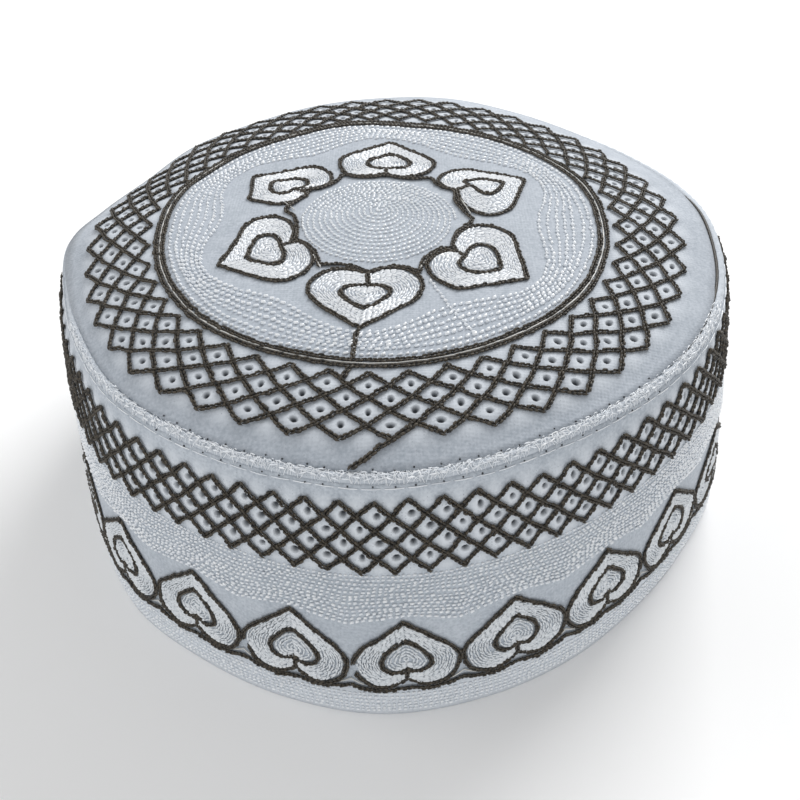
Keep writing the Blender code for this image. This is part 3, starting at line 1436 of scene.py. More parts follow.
@dataclass
class RimSeam:
    """The rolled edge where crown and band meet, overcast with fine thread.

    Pairs that end in _mm are the ends of a random range, but a lean's are its mean and spread.
    """

    chart: RimChart
    crown: CrownChart
    band: BandChart
    cloth: Material
    thread: Material
    thread_and_shadow: Material
    pit: Material
    count: int = 150
    segments: int = 600
    roll_sides: int = 14
    roll_slack: float = 0.16 * MM
    ridges: Pair = (0.06 * MM, 0.04 * MM)
    roll_painted_light: float = 0.35
    fluffed: Pair = (204 * DEG, 338 * DEG)
    narrowing: float = 1.6 * MM
    widening: float = 48 * MM
    hole_mm: Pair = (-0.35, 0.35)
    tip_mm: Pair = (-0.6, 0.5)
    foot_mm: Pair = (-0.3, 0.2)
    foot_lead: float = 1.3 * MM
    bow: float = 0.25 * MM
    down_thickness: float = 0.085 * MM
    up_thickness: float = 0.075 * MM
    strands: int = 900
    low_mm: Pair = (0.0, 2.2)
    high_mm: Pair = (0.1, 2.2)
    lean_mm: Pair = (0.4, 2.2)
    strand_thickness: float = 0.055 * MM
    dashes: tuple[float, ...] = (0.7 * MM, 1.5 * MM, 2.4 * MM)
    dash_start: float = 0.6
    dash_pitch: float = 2.1 * MM
    dash_mm: Pair = (1.3, 1.9)
    dash_sway_mm: float = 0.22
    dash_thickness: float = 0.15 * MM
    thrown_points: int = 7
    thrown_lift: float = 0.02 * MM
    thrown_rise: float = 0.12 * MM
    thrown_mm: Pair = (0, 0.10)
    run_depth: float = 2.15 * MM
    creased: Pair = (-44 * DEG, 17 * DEG)
    crease_across: float = 0.38 * MM
    crease_wave: float = 0.10 * MM
    crease_radius: float = 0.50 * MM
    crease_lift: float = 0.16 * MM
    holed: Pair = (236 * DEG, 318 * DEG)
    hole_pitch: float = 4.4 * MM
    hole_radius: float = 80.8 * MM
    hole_depth: float = 1.75 * MM
    hole_size: float = 0.45 * MM
    hole_turn: float = 0.005
    hole_stray: float = 0.15 * MM

    def build_roll(self) -> None:
        """Build the rolled cloth edge."""
        chart, form, sides = self.chart, self.chart.form, self.roll_sides
        azimuth = (math.tau * np.arange(self.segments) / self.segments)[:, None]
        turn = (math.tau * np.arange(sides) / sides)[None]
        coarse = self.ridges[0] * np.sin(azimuth * self.count * 3 + 2 * turn)
        fine = self.ridges[1] * np.sin(azimuth * 211 - 3 * turn)
        radius = chart.roll_radius - self.roll_slack + (coarse + fine)
        rim, height = form.read(Outline.RIM_RADIUS, azimuth), form.read(Outline.RIM_HEIGHT, azimuth)
        height = height - chart.sunk(azimuth)
        points = form.around(
            rim - chart.roll_inset - radius * np.cos(turn),
            azimuth + 0 * turn,
            height - chart.roll_inset + radius * np.sin(turn),
        ).reshape(-1, 3)
        names = np.arange(self.segments * sides).reshape(self.segments, -1)
        strips = [bridge(names[:, k], names[:, (k + 1) % sides]) for k in range(sides)]
        faces = np.concatenate(strips)
        centre = form.around(rim - chart.roll_inset, azimuth, height - chart.roll_inset)
        middle = np.repeat(centre.reshape(-1, 3), sides, 0)[faces[:, 0]]
        plain = np.zeros(len(points))
        # Painted light: the whole roll is mixed toward the cloth's paler, lit colour.
        piece = add_piece(
            "rim_roll",
            points,
            outward(points, faces, middle),
            self.cloth,
            pit=plain,
            cell=plain + self.roll_painted_light,
        )
        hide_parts("rim_seam")

    def _throw(self, work: Needlework, start: Line, end: Line, bow: Array, thick: float) -> None:
        """Throw strands over the roll.

        Args:
            work: the piece that keeps them.
            start: chart points where they begin.
            end: chart points where they end.
            bow: how far each bows round the hat.
            thick: their thickness.
        """
        share = np.linspace(0, 1, self.thrown_points)[None, :, None]
        line = start[:, None] * (1 - share) + end[:, None] * share
        line[..., 0] += bow[:, None] * np.sin(math.pi * share[..., 0])
        facing = self.chart.facing(line)
        lift = self.thrown_lift + self.thrown_rise * np.sin(math.pi * share)
        lift = lift + work.chance.uniform(*self.thrown_mm, (len(start), 1, 1)) * MM
        size = thick * np.sin(math.pi * (0.12 + 0.76 * share[..., 0])) ** 0.5
        vary = work.chance.uniform(0.75, 1.2, (len(start), 1))
        work.add(self.chart.point(line) + facing * lift, facing, size * vary)

    def _narrowed(self, at: Array) -> Array:
        """Return how much narrower the overcast strip is at places round the chart."""
        start = self.fluffed[0] * self.chart.radius
        return self.narrowing * (1 - np.clip((at - start) / self.widening, 0, 1))

    def build_overcast(self) -> None:
        """Build the overcast threads: a coarse zigzag, many fine strands and rows of dashes."""
        work = Needlework("rim_overcast", self.chart, OVERCAST_STRAND, 21)
        chance, pitch = work.chance, math.tau * self.chart.radius / self.count
        first, last = (turn * self.chart.radius for turn in self.fluffed)
        holes = np.arange(first, last, pitch)
        count = len(holes)
        holes = holes + chance.uniform(*self.hole_mm, count) * MM
        tips = chance.uniform(*self.tip_mm, count) * MM + self._narrowed(holes)
        tips = np.stack([holes, tips], 1)
        low_ends = self.chart.width + chance.uniform(*self.foot_mm, count) * MM
        feet = np.stack([holes + self.foot_lead, low_ends], 1)
        bow = chance.normal(0, self.bow, count)
        self._throw(work, tips, feet, bow, self.down_thickness)
        self._throw(work, feet[:-1], tips[1:], bow[:-1], self.up_thickness)
        at = chance.uniform(first, last, self.strands)
        low = chance.uniform(*self.low_mm, self.strands) * MM + self._narrowed(at)
        high = self.chart.width - chance.uniform(*self.high_mm, self.strands) * MM
        lean = chance.normal(*self.lean_mm, self.strands) * MM
        start, end = np.stack([at, low], 1), np.stack([at + lean, high], 1)
        self._throw(work, start, end, 0.5 * lean, self.strand_thickness)
        for across in self.dashes:
            narrow = across <= self.narrowing
            begin = np.arange(
                first + self.dash_start * self.widening if narrow else first, last, self.dash_pitch
            )
            begin = begin + chance.uniform(-0.3, 0.3) * MM
            sway = chance.normal(0, self.dash_sway_mm, (2, len(begin))) * MM
            start = np.stack([begin, across + sway[1]], 1)
            reach = begin + chance.uniform(*self.dash_mm, len(begin)) * MM
            end = np.stack([reach, across + sway[0]], 1)
            self._throw(work, start, end, 0 * begin, self.dash_thickness)
        piece = work.build(self.thread)

    def build_running(self) -> None:
        """Build the single row of running stitch below the seam."""
        work = Needlework("rim_running_stitch", self.band, RUNNING_STITCH, 22)
        turn = full_turn()
        depth = self.run_depth + 0.12 * MM * np.sin(23 * turn) + 0.1 * MM * np.sin(57 * turn)
        work.follow(np.stack([turn * self.band.radius, depth], 1))
        piece = work.build(self.thread)

    def build_crease(self) -> None:
        """Build the dark strand in the crease beside the crown: partly a dark thread, partly
        painted shadow of the crease.
        """
        work = Needlework("rim_crease_thread_and_shadow", self.chart, OVERCAST_STRAND, 23)
        share = np.linspace(0, 1, 100)
        azimuth = np.linspace(*self.creased, 100)
        across = self.crease_across + self.crease_wave * np.sin(19 * azimuth)
        line = np.stack([azimuth * self.chart.radius, across], 1)
        facing = self.chart.facing(line)
        thickness = self.crease_radius * np.sin(math.pi * share) ** 0.6
        place = self.chart.point(line) + facing * self.crease_lift
        work.add(place[None], facing[None], thickness[None])
        work.build(self.thread_and_shadow)

    def build_holes(self) -> None:
        """Build dark discs of painted shade for the needle holes on both sides of the seam."""
        work = Needlework("rim_painted_hole_shade", self.band, HOLE_SHADE_DISC, 24)
        azimuth = np.arange(*self.holed, self.hole_pitch / self.chart.radius)
        count = len(azimuth)
        azimuth = azimuth + work.chance.normal(0, self.hole_turn, count)
        radius = self.hole_radius + work.chance.normal(0, self.hole_stray, count)
        depth = self.hole_depth + work.chance.normal(0, self.hole_stray, count)
        on_band = np.stack([azimuth * self.band.radius, depth], 1)
        for chart, drawn in ((self.crown, polar(radius, azimuth)), (self.band, on_band)):
            here, facing = chart.point(drawn), chart.facing(drawn)
            aside = unit(np.cross(facing, (0.0, 0.0, 1.0)))
            work.lay(here, here + aside * self.hole_size, facing)
        work.build(self.pit)

    def build(self) -> None:
        """Build the whole seam."""
        self.build_roll()
        self.build_overcast()
        self.build_running()
        self.build_crease()
        self.build_holes()


class Run(Enum):
    """The two halves of a heart's outline."""

    TO_TIP = 0
    TO_CLEFT = 1


@dataclass(frozen=True)
class HeartLoop:
    """One outline of a heart, from its cleft round to its cleft, and the number of its tip."""

    points: Line
    tip: int

    def half(self, which: Run) -> Line:
        """Draw one half of the outline."""
        loop = np.concatenate([self.points, self.points[:1]])
        return through(loop[: self.tip + 1] if which is Run.TO_TIP else loop[self.tip :])

    def line(self) -> Line:
        """Draw the whole outline."""
        return np.concatenate([self.half(Run.TO_TIP), self.half(Run.TO_CLEFT)[1:]])


@dataclass(frozen=True)
class Heart:
    """A heart's outer and inner outline as drawn."""

    outer: HeartLoop
    inner: HeartLoop
    first_share: float = 0.10
    share_width: float = 0.80
    centre_share: float = 0.78
    centre_width: float = 0.62

    def link(self) -> Line:
        """Draw the short cord from the outer cleft to the inner one."""
        return np.stack([self.outer.points[0], self.inner.points[0]])

    def fill(self, rows: int, centre_rows: int, steps: int = 60) -> list[Line]:
        """Draw the filling rows between the two outlines, then those inside the inner one.

        Args:
            rows: how many there are between the outlines.
            centre_rows: how many there are inside the inner one.
            steps: how finely each half of a row is drawn.

        Returns:
            The rows' lines.
        """
        lines = []
        for which in Run:
            outside, inside = (evenly(loop.half(which), steps) for loop in (self.outer, self.inner))
            for row in range(rows):
                share = self.first_share + self.share_width * (row + 0.5) / rows
                lines.append(outside * (1 - share) + inside * share)
        line, middle = self.inner.line(), self.inner.points.mean(axis=0)
        for row in range(centre_rows):
            share = self.centre_share - self.centre_width * row / max(1, centre_rows - 1)
            lines.append(middle + (line - middle) * share)
        return lines

# outer outline, number of its tip, inner outline, number of its tip; x and y on the crown in mm
CROWN_HEARTS_MM = (
    (
        (
            (1.7, 22.7), (3.1, 21.6), (6.1, 20.9), (9.5, 21.2), (12.3, 22.5), (14.1, 24.8),
            (15.1, 27.4), (14.3, 30.1), (10.9, 33.5), (7, 37.2), (3.1, 40.9), (-0.9, 38.7),
            (-5.5, 35.9), (-9.5, 33.4), (-10.9, 31.1), (-10.7, 27), (-9.4, 23.3), (-6.1, 21.8),
            (-2.8, 21.6), (0, 22.1),
        ),
        10,
        (
            (2, 25.7), (4.6, 25.5), (7.1, 26.1), (8.4, 28), (7.4, 30.4), (4.9, 32.5), (2.5, 33.6),
            (-0.6, 31.7), (-2.8, 30.7), (-3.4, 28.6), (-2.3, 26.7), (0, 25.8),
        ),
        6,
    ),
    (
        (
            (20.6, 13.7), (17.8, 14.7), (16.1, 17.1), (16.1, 19.5), (17.8, 22.5), (20.8, 24.1),
            (23.8, 24.2), (28.7, 22.7), (33.5, 21), (38.8, 18.7), (37.2, 13.7), (35.6, 8.6),
            (34.1, 4.4), (31.2, 1.5), (27.7, 0.6), (24.6, 2.1), (22.3, 4.9), (21.1, 8.3),
            (20.9, 11.4),
        ),
        9,
        (
            (24.6, 15.5), (22.6, 17.7), (25.2, 18.8), (28.9, 18.6), (33.1, 17.2), (31.7, 13.9),
            (30, 11.5), (28, 11.2), (26.3, 13),
        ),
        4,
    ),
    (
        (
            (19.7, -16.3), (18.3, -14.3), (18.6, -11.2), (20, -7.6), (22.5, -5), (25.9, -4.2),
            (29.1, -5.2), (31.9, -7.7), (33.2, -11.2), (33.6, -16.4), (34.3, -21.9), (34.9, -27.1),
            (30.1, -28.5), (24.6, -30), (19.2, -31.4), (16.1, -29.8), (13.4, -26.8), (12, -23.1),
            (12.7, -19.3), (14.7, -16.6), (17.4, -15.7),
        ),
        11,
        (
            (21, -18.3), (21.7, -15.8), (23.4, -13.5), (25.6, -13), (27.6, -14.5), (28.6, -17.6),
            (29.3, -23.1), (26.1, -24.6), (22.4, -24.8), (20.2, -23.2), (19.6, -20.7),
        ),
        6,
    ),
    (
        (
            (-2, -24.9), (0, -23.4), (3.1, -22.6), (6.1, -22.9), (8.9, -25), (10.6, -28.2),
            (10.7, -31.4), (9.2, -35.1), (6.1, -37.7), (1.2, -41.6), (-3.5, -45.2), (-8, -41.4),
            (-12.3, -37.5), (-14.9, -34), (-15.8, -31.3), (-15.4, -28.5), (-13.7, -25.6),
            (-11, -23.5), (-7.7, -22.9), (-4.3, -23.8),
        ),
        10,
        (
            (-1.7, -29.6), (1.1, -29.7), (3.1, -31.1), (3.3, -33), (1.2, -35.6), (-2.8, -38.5),
            (-5.8, -35.8), (-8.1, -33.1), (-7.9, -30.9), (-5.5, -29.8),
        ),
        5,
    ),
    (
        (
            (-21.7, -11.4), (-21, -8.6), (-21.2, -4.9), (-22.8, -1.2), (-25.3, 0.6), (-28, 1.1),
            (-31.1, -0), (-33.4, -2.4), (-34.4, -5.5), (-35.6, -11), (-37.2, -16.3), (-38.9, -20.9),
            (-33.2, -23.8), (-27.6, -26.5), (-23.3, -27.8), (-19.9, -26.9), (-17, -24.2),
            (-15.5, -20.8), (-15.5, -17.1), (-16.6, -13.6), (-19, -11.5),
        ),
        11,
        (
            (-23.8, -12.9), (-24.8, -10.1), (-26, -8.1), (-28.4, -7.8), (-30.4, -9.2),
            (-31.3, -12.9), (-32.1, -18.2), (-28.6, -19.9), (-24.8, -20.9), (-22.8, -19.4),
            (-22.6, -16.7),
        ),
        6,
    ),
    (
        (
            (-21.1, 14.2), (-18.3, 15.1), (-15.2, 16), (-13.3, 18.3), (-12.8, 21.2), (-13.8, 24.2),
            (-16.2, 26.4), (-19.2, 27.2), (-23.1, 26), (-28.6, 24), (-34.9, 22.7), (-34.8, 18.3),
            (-34.5, 14), (-34.4, 10.3), (-31.3, 9), (-27.5, 7.6), (-24.1, 7.9), (-21.2, 9.7),
            (-19, 12.3),
        ),
        10,
        (
            (-22.9, 15), (-20.9, 15.6), (-19.3, 17.4), (-19.7, 19.8), (-21.9, 20.7), (-25, 20.2),
            (-29.5, 19.5), (-29.5, 17.1), (-29, 14.6), (-27.5, 13.1), (-25.1, 13.1),
        ),
        6,
    ),
)

# The scalloped cord inside the ring of hearts, x and y on the crown in mm
SCALLOP_MM = (
    (-13.7, -21.6), (-9.2, -21.1), (-4.9, -22.4), (-1.8, -24.3), (0.9, -23.4), (4.9, -22.1),
    (8.3, -23.4), (10.1, -24.7), (11, -20.8), (12.9, -17.2), (15.3, -14.9), (18.1, -14.9),
    (18.3, -12.2), (18.9, -9.8), (20, -6.6), (21.9, -4.3), (23.8, -2), (22, 1.9), (20.3, 6.1),
    (19.9, 9.2), (20.2, 12.3), (19.3, 13.6), (17.1, 14.6), (15, 16.9), (14.1, 19.8), (9.2, 19.5),
    (4.9, 20.3), (1.8, 21.5), (-3.1, 20.6), (-6.7, 21.1), (-9.8, 22.2), (-11.3, 19), (-13.4, 16.8),
    (-15.9, 15.1), (-18.3, 14.5), (-19.1, 12.2), (-21.1, 9.2), (-24, 4.9), (-21.6, 0.9),
    (-20.6, -3.1), (-20.3, -7.3), (-20.1, -10.3), (-18.1, -11.8), (-15.7, -14.7), (-14.3, -18.6),
)

# Half of a band heart, from cleft to tip: across it, and depth below the rim, in mm
BAND_HEART_MM = (
    (0.0, 56.1), (1.8, 57.6), (4.2, 58.9), (6.6, 59.1), (8.9, 58.1), (10.7, 55.9), (11.7, 53.2),
    (11.9, 50.3), (10.9, 47.6), (8.8, 45.1), (5.9, 42.3), (2.9, 39.5), (0.0, 36.6),
)
BAND_INNER_MM = (
    (0.0, 52.4), (1.4, 53.4), (3.0, 53.7), (4.6, 52.8), (5.4, 51.0), (5.0, 48.6), (3.5, 46.3),
    (1.8, 44.6), (0.0, 43.2),
)

# Pale threads left between the scallop and the ring of hearts, x and y on the crown in mm
PALE_THREADS_MM = (
    ((-15.4, -17.2), (-13.4, -22.3)),
    ((11.8, -19.6), (9.9, -24.5)),
    ((21.3, 8.3), (23.3, 1.2)),
    ((-24.7, 8.0), (-22.0, 4.3)),
)

# A jagged white row from the scallop to the ring, x and y on the crown in mm
JAGGED_MM = ((12.5, -27.8), (16.5, -38.1), (21.7, -47.6))
JAG_MM = 0.35

# Loose jumps of the cord: radius in mm and azimuth in degrees
JUMPS = (
    ((45.7, 265.5), (55.2, 265.2)),
    ((57.1, 265.5), (60.8, 264.1)),
    ((72.8, 276.5), (76.5, 271.5), (80.7, 267.1)),
)

# The pale threads below two hearts that meet: across from there, and depth below the rim, in mm
CORNER_MM = ((-2.7, 58.1), (0.0, 56.2), (2.7, 58.1))

# How far out the double ring lies, in mm, every 20 degrees from azimuth 0
RING_MM = (
    55.3, 55.9, 55.4, 54.4, 53.2, 55.7, 55, 55.9, 57.4, 55.7, 57.1, 57.3,
    56.8, 56.3, 56.4, 56.7, 56.4, 55.4,
)

# azimuth_deg, then slide and shift at the inner tips and at the outer tips
CROWN_DRIFT_MM = (
    (0, -1.5, -0.8, -1.6, -1.8),
    (20, -0.7, -0.7, -1.8, -2.7),
    (40, -0.6, -1.1, -1.7, -2.4),
    (60, -0.7, -1.8, -0.4, -2.2),
    (80, -0.5, -2.2, -0.2, -1.7),
    (100, 0.2, -1.5, -0.2, -0.9),
    (120, -0.1, -1.3, 0.0, -0.3),
    (140, -0.8, -0.4, 0.4, 0.0),
    (160, -1.1, 0.9, 0.8, 0.0),
    (180, -0.1, -0.2, 0.9, -0.4),
    (200, 2.3, 0.9, 0.6, 1.4),
    (220, 0.9, 1.2, 0.7, 1.6),
    (240, 0.5, 0.8, 0.7, 1.0),
    (260, 0.6, 0.3, 0.3, 0.2),
    (280, 0.4, 0.3, 0.0, -0.3),
    (300, -0.5, 0.5, 0.2, 1.3),
    (320, -0.4, 0.2, -0.8, 0.2),
    (340, -1.3, -0.7, -1.2, -1.5),
)

# azimuth_deg, then slide and shift at the upper tips, the lower tips, the tips of the hearts
# and their clefts
BAND_DRIFT_MM = (
    (0, -1.9, -1.7, -0.7, -0.5, -0.6, -0.8, 0.0, -0.7),
    (20, -0.8, -1.0, -0.3, -0.2, -0.2, -0.3, 0.0, -0.3),
    (40, -0.2, -0.4, -0.1, 0.0, 0.0, -0.1, 0.0, -0.1),
    (60, 0.1, -0.1, 0.0, 0.0, 0.0, 0.0, 0.0, 0.0),
    (80, 0.1, 0.0, 0.0, 0.0, 0.0, 0.1, 0.0, 0.1),
    (100, 0.1, 0.1, 0.0, 0.0, 0.0, 0.1, 0.0, 0.1),
    (120, 0.0, 0.0, 0.0, 0.0, 0.0, 0.0, 0.0, 0.0),
    (140, 0.0, 0.0, 0.0, 0.1, 0.0, 0.0, 0.0, 0.0),
    (160, -0.2, 0.0, 0.0, 0.2, 0.1, -0.1, -0.1, 0.0),
    (180, -0.3, 0.1, 0.1, 0.3, 0.3, -0.3, -0.1, -0.2),
    (200, -0.4, 0.2, 0.2, 0.3, 0.6, -0.6, -0.1, -0.3),
    (220, -0.1, 0.2, 0.4, -0.1, 1.0, -0.8, 0.0, -0.5),
    (240, 0.5, 0.5, 0.9, 0.1, 1.0, -0.3, 0.3, -0.5),
    (260, 0.4, -0.1, 0.9, -0.1, 0.6, 0.0, 1.0, 0.2),
    (280, -0.3, -0.6, 0.3, -0.1, -0.1, 0.3, 0.6, 0.4),
    (300, -0.1, 1.0, 0.1, 0.4, -0.8, -0.4, 0.7, -0.6),
    (320, -1.2, -0.7, -0.8, -1.2, -1.7, -1.6, 0.3, -1.4),
    (340, -3.1, -2.1, -1.0, -0.9, -1.2, -1.4, 0.1, -1.2),
)


class Task(Enum):
    """The kinds of embroidery: the end of the piece's name, its stitch and its seed's digit."""

    LATTICE = ("lattice_cord", CORD_LINK, 1)
    CORDS = ("heart_cord", CORD_LINK, 2)
    ROWS = ("white_rows", BEAD_GRAIN, 3)
    FILL = ("heart_fill", FILL_GRAIN, 4)
    PALE = ("pale_threads", SMOOTH_THREAD, 5)


@dataclass
class Embroidery(ABC):
    """The embroidery of one cloth: its diamonds, its filled hearts and its rows."""

    chart: Chart
    lattice: Lattice
    name: str = ""
    seed: int = 0
    fill_rows: int = 10
    centre_rows: int = 6
    rounding: float = 0.7 * MM
    crossing_lift: float = 0.2 * MM
    link_lift: float = 0.1 * MM

    @abstractmethod
    def hearts(self) -> list[Heart]:
        """Draw the hearts."""

    @abstractmethod
    def lay_rows(self, work: Needlework) -> None:
        """Lay the white rows."""

    @abstractmethod
    def lay_pale(self, work: Needlework) -> None:
        """Lay the smooth pale threads."""

    def charted(self, leg: Line) -> Line:
        """Carry a leg of the lattice onto the chart; by default they share their axes."""
        return leg

    def parts(self, number: int, outline: Line) -> list[Line]:
        """Return the parts of a heart's outline that are worked, by default all of it."""
        return [outline]

    def lay_lattice(self, work: Needlework) -> None:
        """Lay the diamonds, with the legs that go on round the hat on top.

        Args:
            work: the piece that keeps the stitches.
        """
        for side, lift in ((-1, 0.0), (1, self.crossing_lift)):
            for leg in self.lattice.legs(side):
                work.follow(self.charted(leg), lift)

    def lay_cords(self, work: Needlework) -> None:
        """Lay the hearts' outlines and their links.

        Args:
            work: the piece that keeps the stitches.
        """
        for number, heart in enumerate(self.hearts()):
            for part in self.parts(number, softened(heart.outer.line(), self.rounding)):
                work.follow(part)
            work.follow(softened(heart.inner.line(), self.rounding))
            work.follow(heart.link(), self.link_lift)

    def lay_fill(self, work: Needlework) -> None:
        """Lay the white filling of the hearts.

        Args:
            work: the piece that keeps the stitches.
        """
        for heart in self.hearts():
            for line in heart.fill(self.fill_rows, self.centre_rows):
                work.follow(line)

    def build(self, task: Task, thread: Material) -> Object:
        """Build one kind of the embroidery.

        Args:
            task: the kind.
            thread: its finish.

        Returns:
            The new object.
        """
        ending, stitch, digit = task.value
        work = Needlework(f"{self.name}_{ending}", self.chart, stitch, self.seed + digit)
        ways = {
            Task.LATTICE: self.lay_lattice,
            Task.CORDS: self.lay_cords,
            Task.ROWS: self.lay_rows,
            Task.FILL: self.lay_fill,
            Task.PALE: self.lay_pale,
        }
        ways[task](work)
        return work.build(thread)


@dataclass
class CrownWork(Embroidery):
    """All the embroidery of the crown."""

    name: str = "crown"
    seed: int = 30
    tips: tuple[float, ...] = (26.3, 86.05, 146.0, 207.8, 265.5, 322.7)
    cord_spread: float = 0.87 * MM
    cord_wave: float = 0.06 * MM
    scallop_lift: float = 0.12 * MM
    jump_lift: float = 0.15 * MM
    pale_lift: float = 0.25 * MM
    circles_mm: tuple[float, ...] = (-2.7, -4.6)
    circle_wave_mm: float = 0.12
    waves_mm: tuple[Pair, ...] = (
        (-5.3, -7.0),
        (-6.2, -8.9),
        (-7.3, -10.9),
        (-8.5, -13.1),
        (-9.6, -15.2),
    )
    spiral_turns: int = 14
    spiral_steps: int = 90
    spiral_radii: Pair = (0.6 * MM, 19.8 * MM)
    spiral_start: Pair = (0.6 * MM, 4.2 * MM)
    spiral_end: Pair = (-0.2 * MM, -1.2 * MM)
    spiral_scale: float = 0.95
    row_scale: float = 1.12

    def ring(self, azimuth: Array) -> Array:
        """Return how far out the double ring's middle lies at any azimuth."""
        return read_round(np.array(RING_MM) * MM, azimuth)

    def hearts(self) -> list[Heart]:
        """Return the six hearts."""
        return [
            Heart(HeartLoop(np.array(outer) * MM, tip), HeartLoop(np.array(inner) * MM, inner_tip))
            for outer, tip, inner, inner_tip in CROWN_HEARTS_MM
        ]

    def charted(self, leg: Line) -> Line:
        """Carry a leg of the lattice onto the chart."""
        return polar(leg[:, 1], leg[:, 0] / self.lattice.radius)

    def lay_cords(self, work: Needlework) -> None:
        """Lay the hearts' cords, then the scallop, the double ring and the loose jumps.

        Args:
            work: the piece that keeps the stitches.
        """
        super().lay_cords(work)
        scallop = np.array(SCALLOP_MM + SCALLOP_MM[:1]) * MM
        work.follow(softened(through(scallop), self.rounding), self.scallop_lift)
        turn = full_turn()
        for spread in (-self.cord_spread, self.cord_spread):
            radius = self.ring(turn) + spread + self.cord_wave * np.sin(21 * turn)
            work.follow(polar(radius, turn))
        for jump in JUMPS:
            radius, azimuth = np.array(jump).T
            work.follow(through(polar(radius * MM, azimuth * DEG)), self.jump_lift)

    def _between(self, azimuth: Array) -> Array:
        """Return how far azimuths are from the hearts' tips.

        Args:
            azimuth: angles in radians.

        Returns:
            Shares from 0 at a tip to 1 half way to the next, smoothly.
        """
        tips = np.array(self.tips)
        marks = np.concatenate([tips - 360, tips, tips + 360])
        middles = (marks[1:] + marks[:-1]) / 2
        places = np.concatenate([marks, middles])
        heights = np.concatenate([0 * marks, 0 * middles + 1])
        order = np.argsort(places)
        share = np.interp(azimuth / DEG, places[order], heights[order])
        return np.sin(math.pi / 2 * share) ** 2

    def lay_rows(self, work: Needlework) -> None:
        """Lay the spiral in the middle, the circles, the waves and one jagged row.

        Args:
            work: the piece that keeps the stitches.
        """
        first, last = self.spiral_radii
        turn = np.linspace(0, math.tau * self.spiral_turns, self.spiral_steps * self.spiral_turns)
        share = turn / turn[-1]
        middle = [a + (b - a) * share for a, b in zip(self.spiral_start, self.spiral_end)]
        radius = first + (last - first) * share
        work.follow(polar(radius, -turn) + np.stack(middle, 1), 0.0, self.spiral_scale)
        around = full_turn()
        ring = self.ring(around)
        for inside in self.circles_mm:
            wave = self.circle_wave_mm * np.sin(11 * around + inside)
            work.follow(polar(ring + (inside + wave) * MM, around), 0.0, self.row_scale)
        between = self._between(around)
        for at_tip, at_cusp in self.waves_mm:
            line = polar(ring + (at_tip + (at_cusp - at_tip) * between) * MM, around)
            work.follow(line, 0.0, self.row_scale)
        jagged = through(np.array(JAGGED_MM) * MM)
        jagged[::2] += JAG_MM * MM
        work.follow(jagged)

    def lay_pale(self, work: Needlework) -> None:
        """Lay the pale threads in the double ring and beside the scallop.

        Args:
            work: the piece that keeps the stitches.
        """
        turn = full_turn()
        work.follow(polar(self.ring(turn), turn))
        for thread_mm in PALE_THREADS_MM:
            work.follow(np.array(thread_mm) * MM, self.pale_lift)


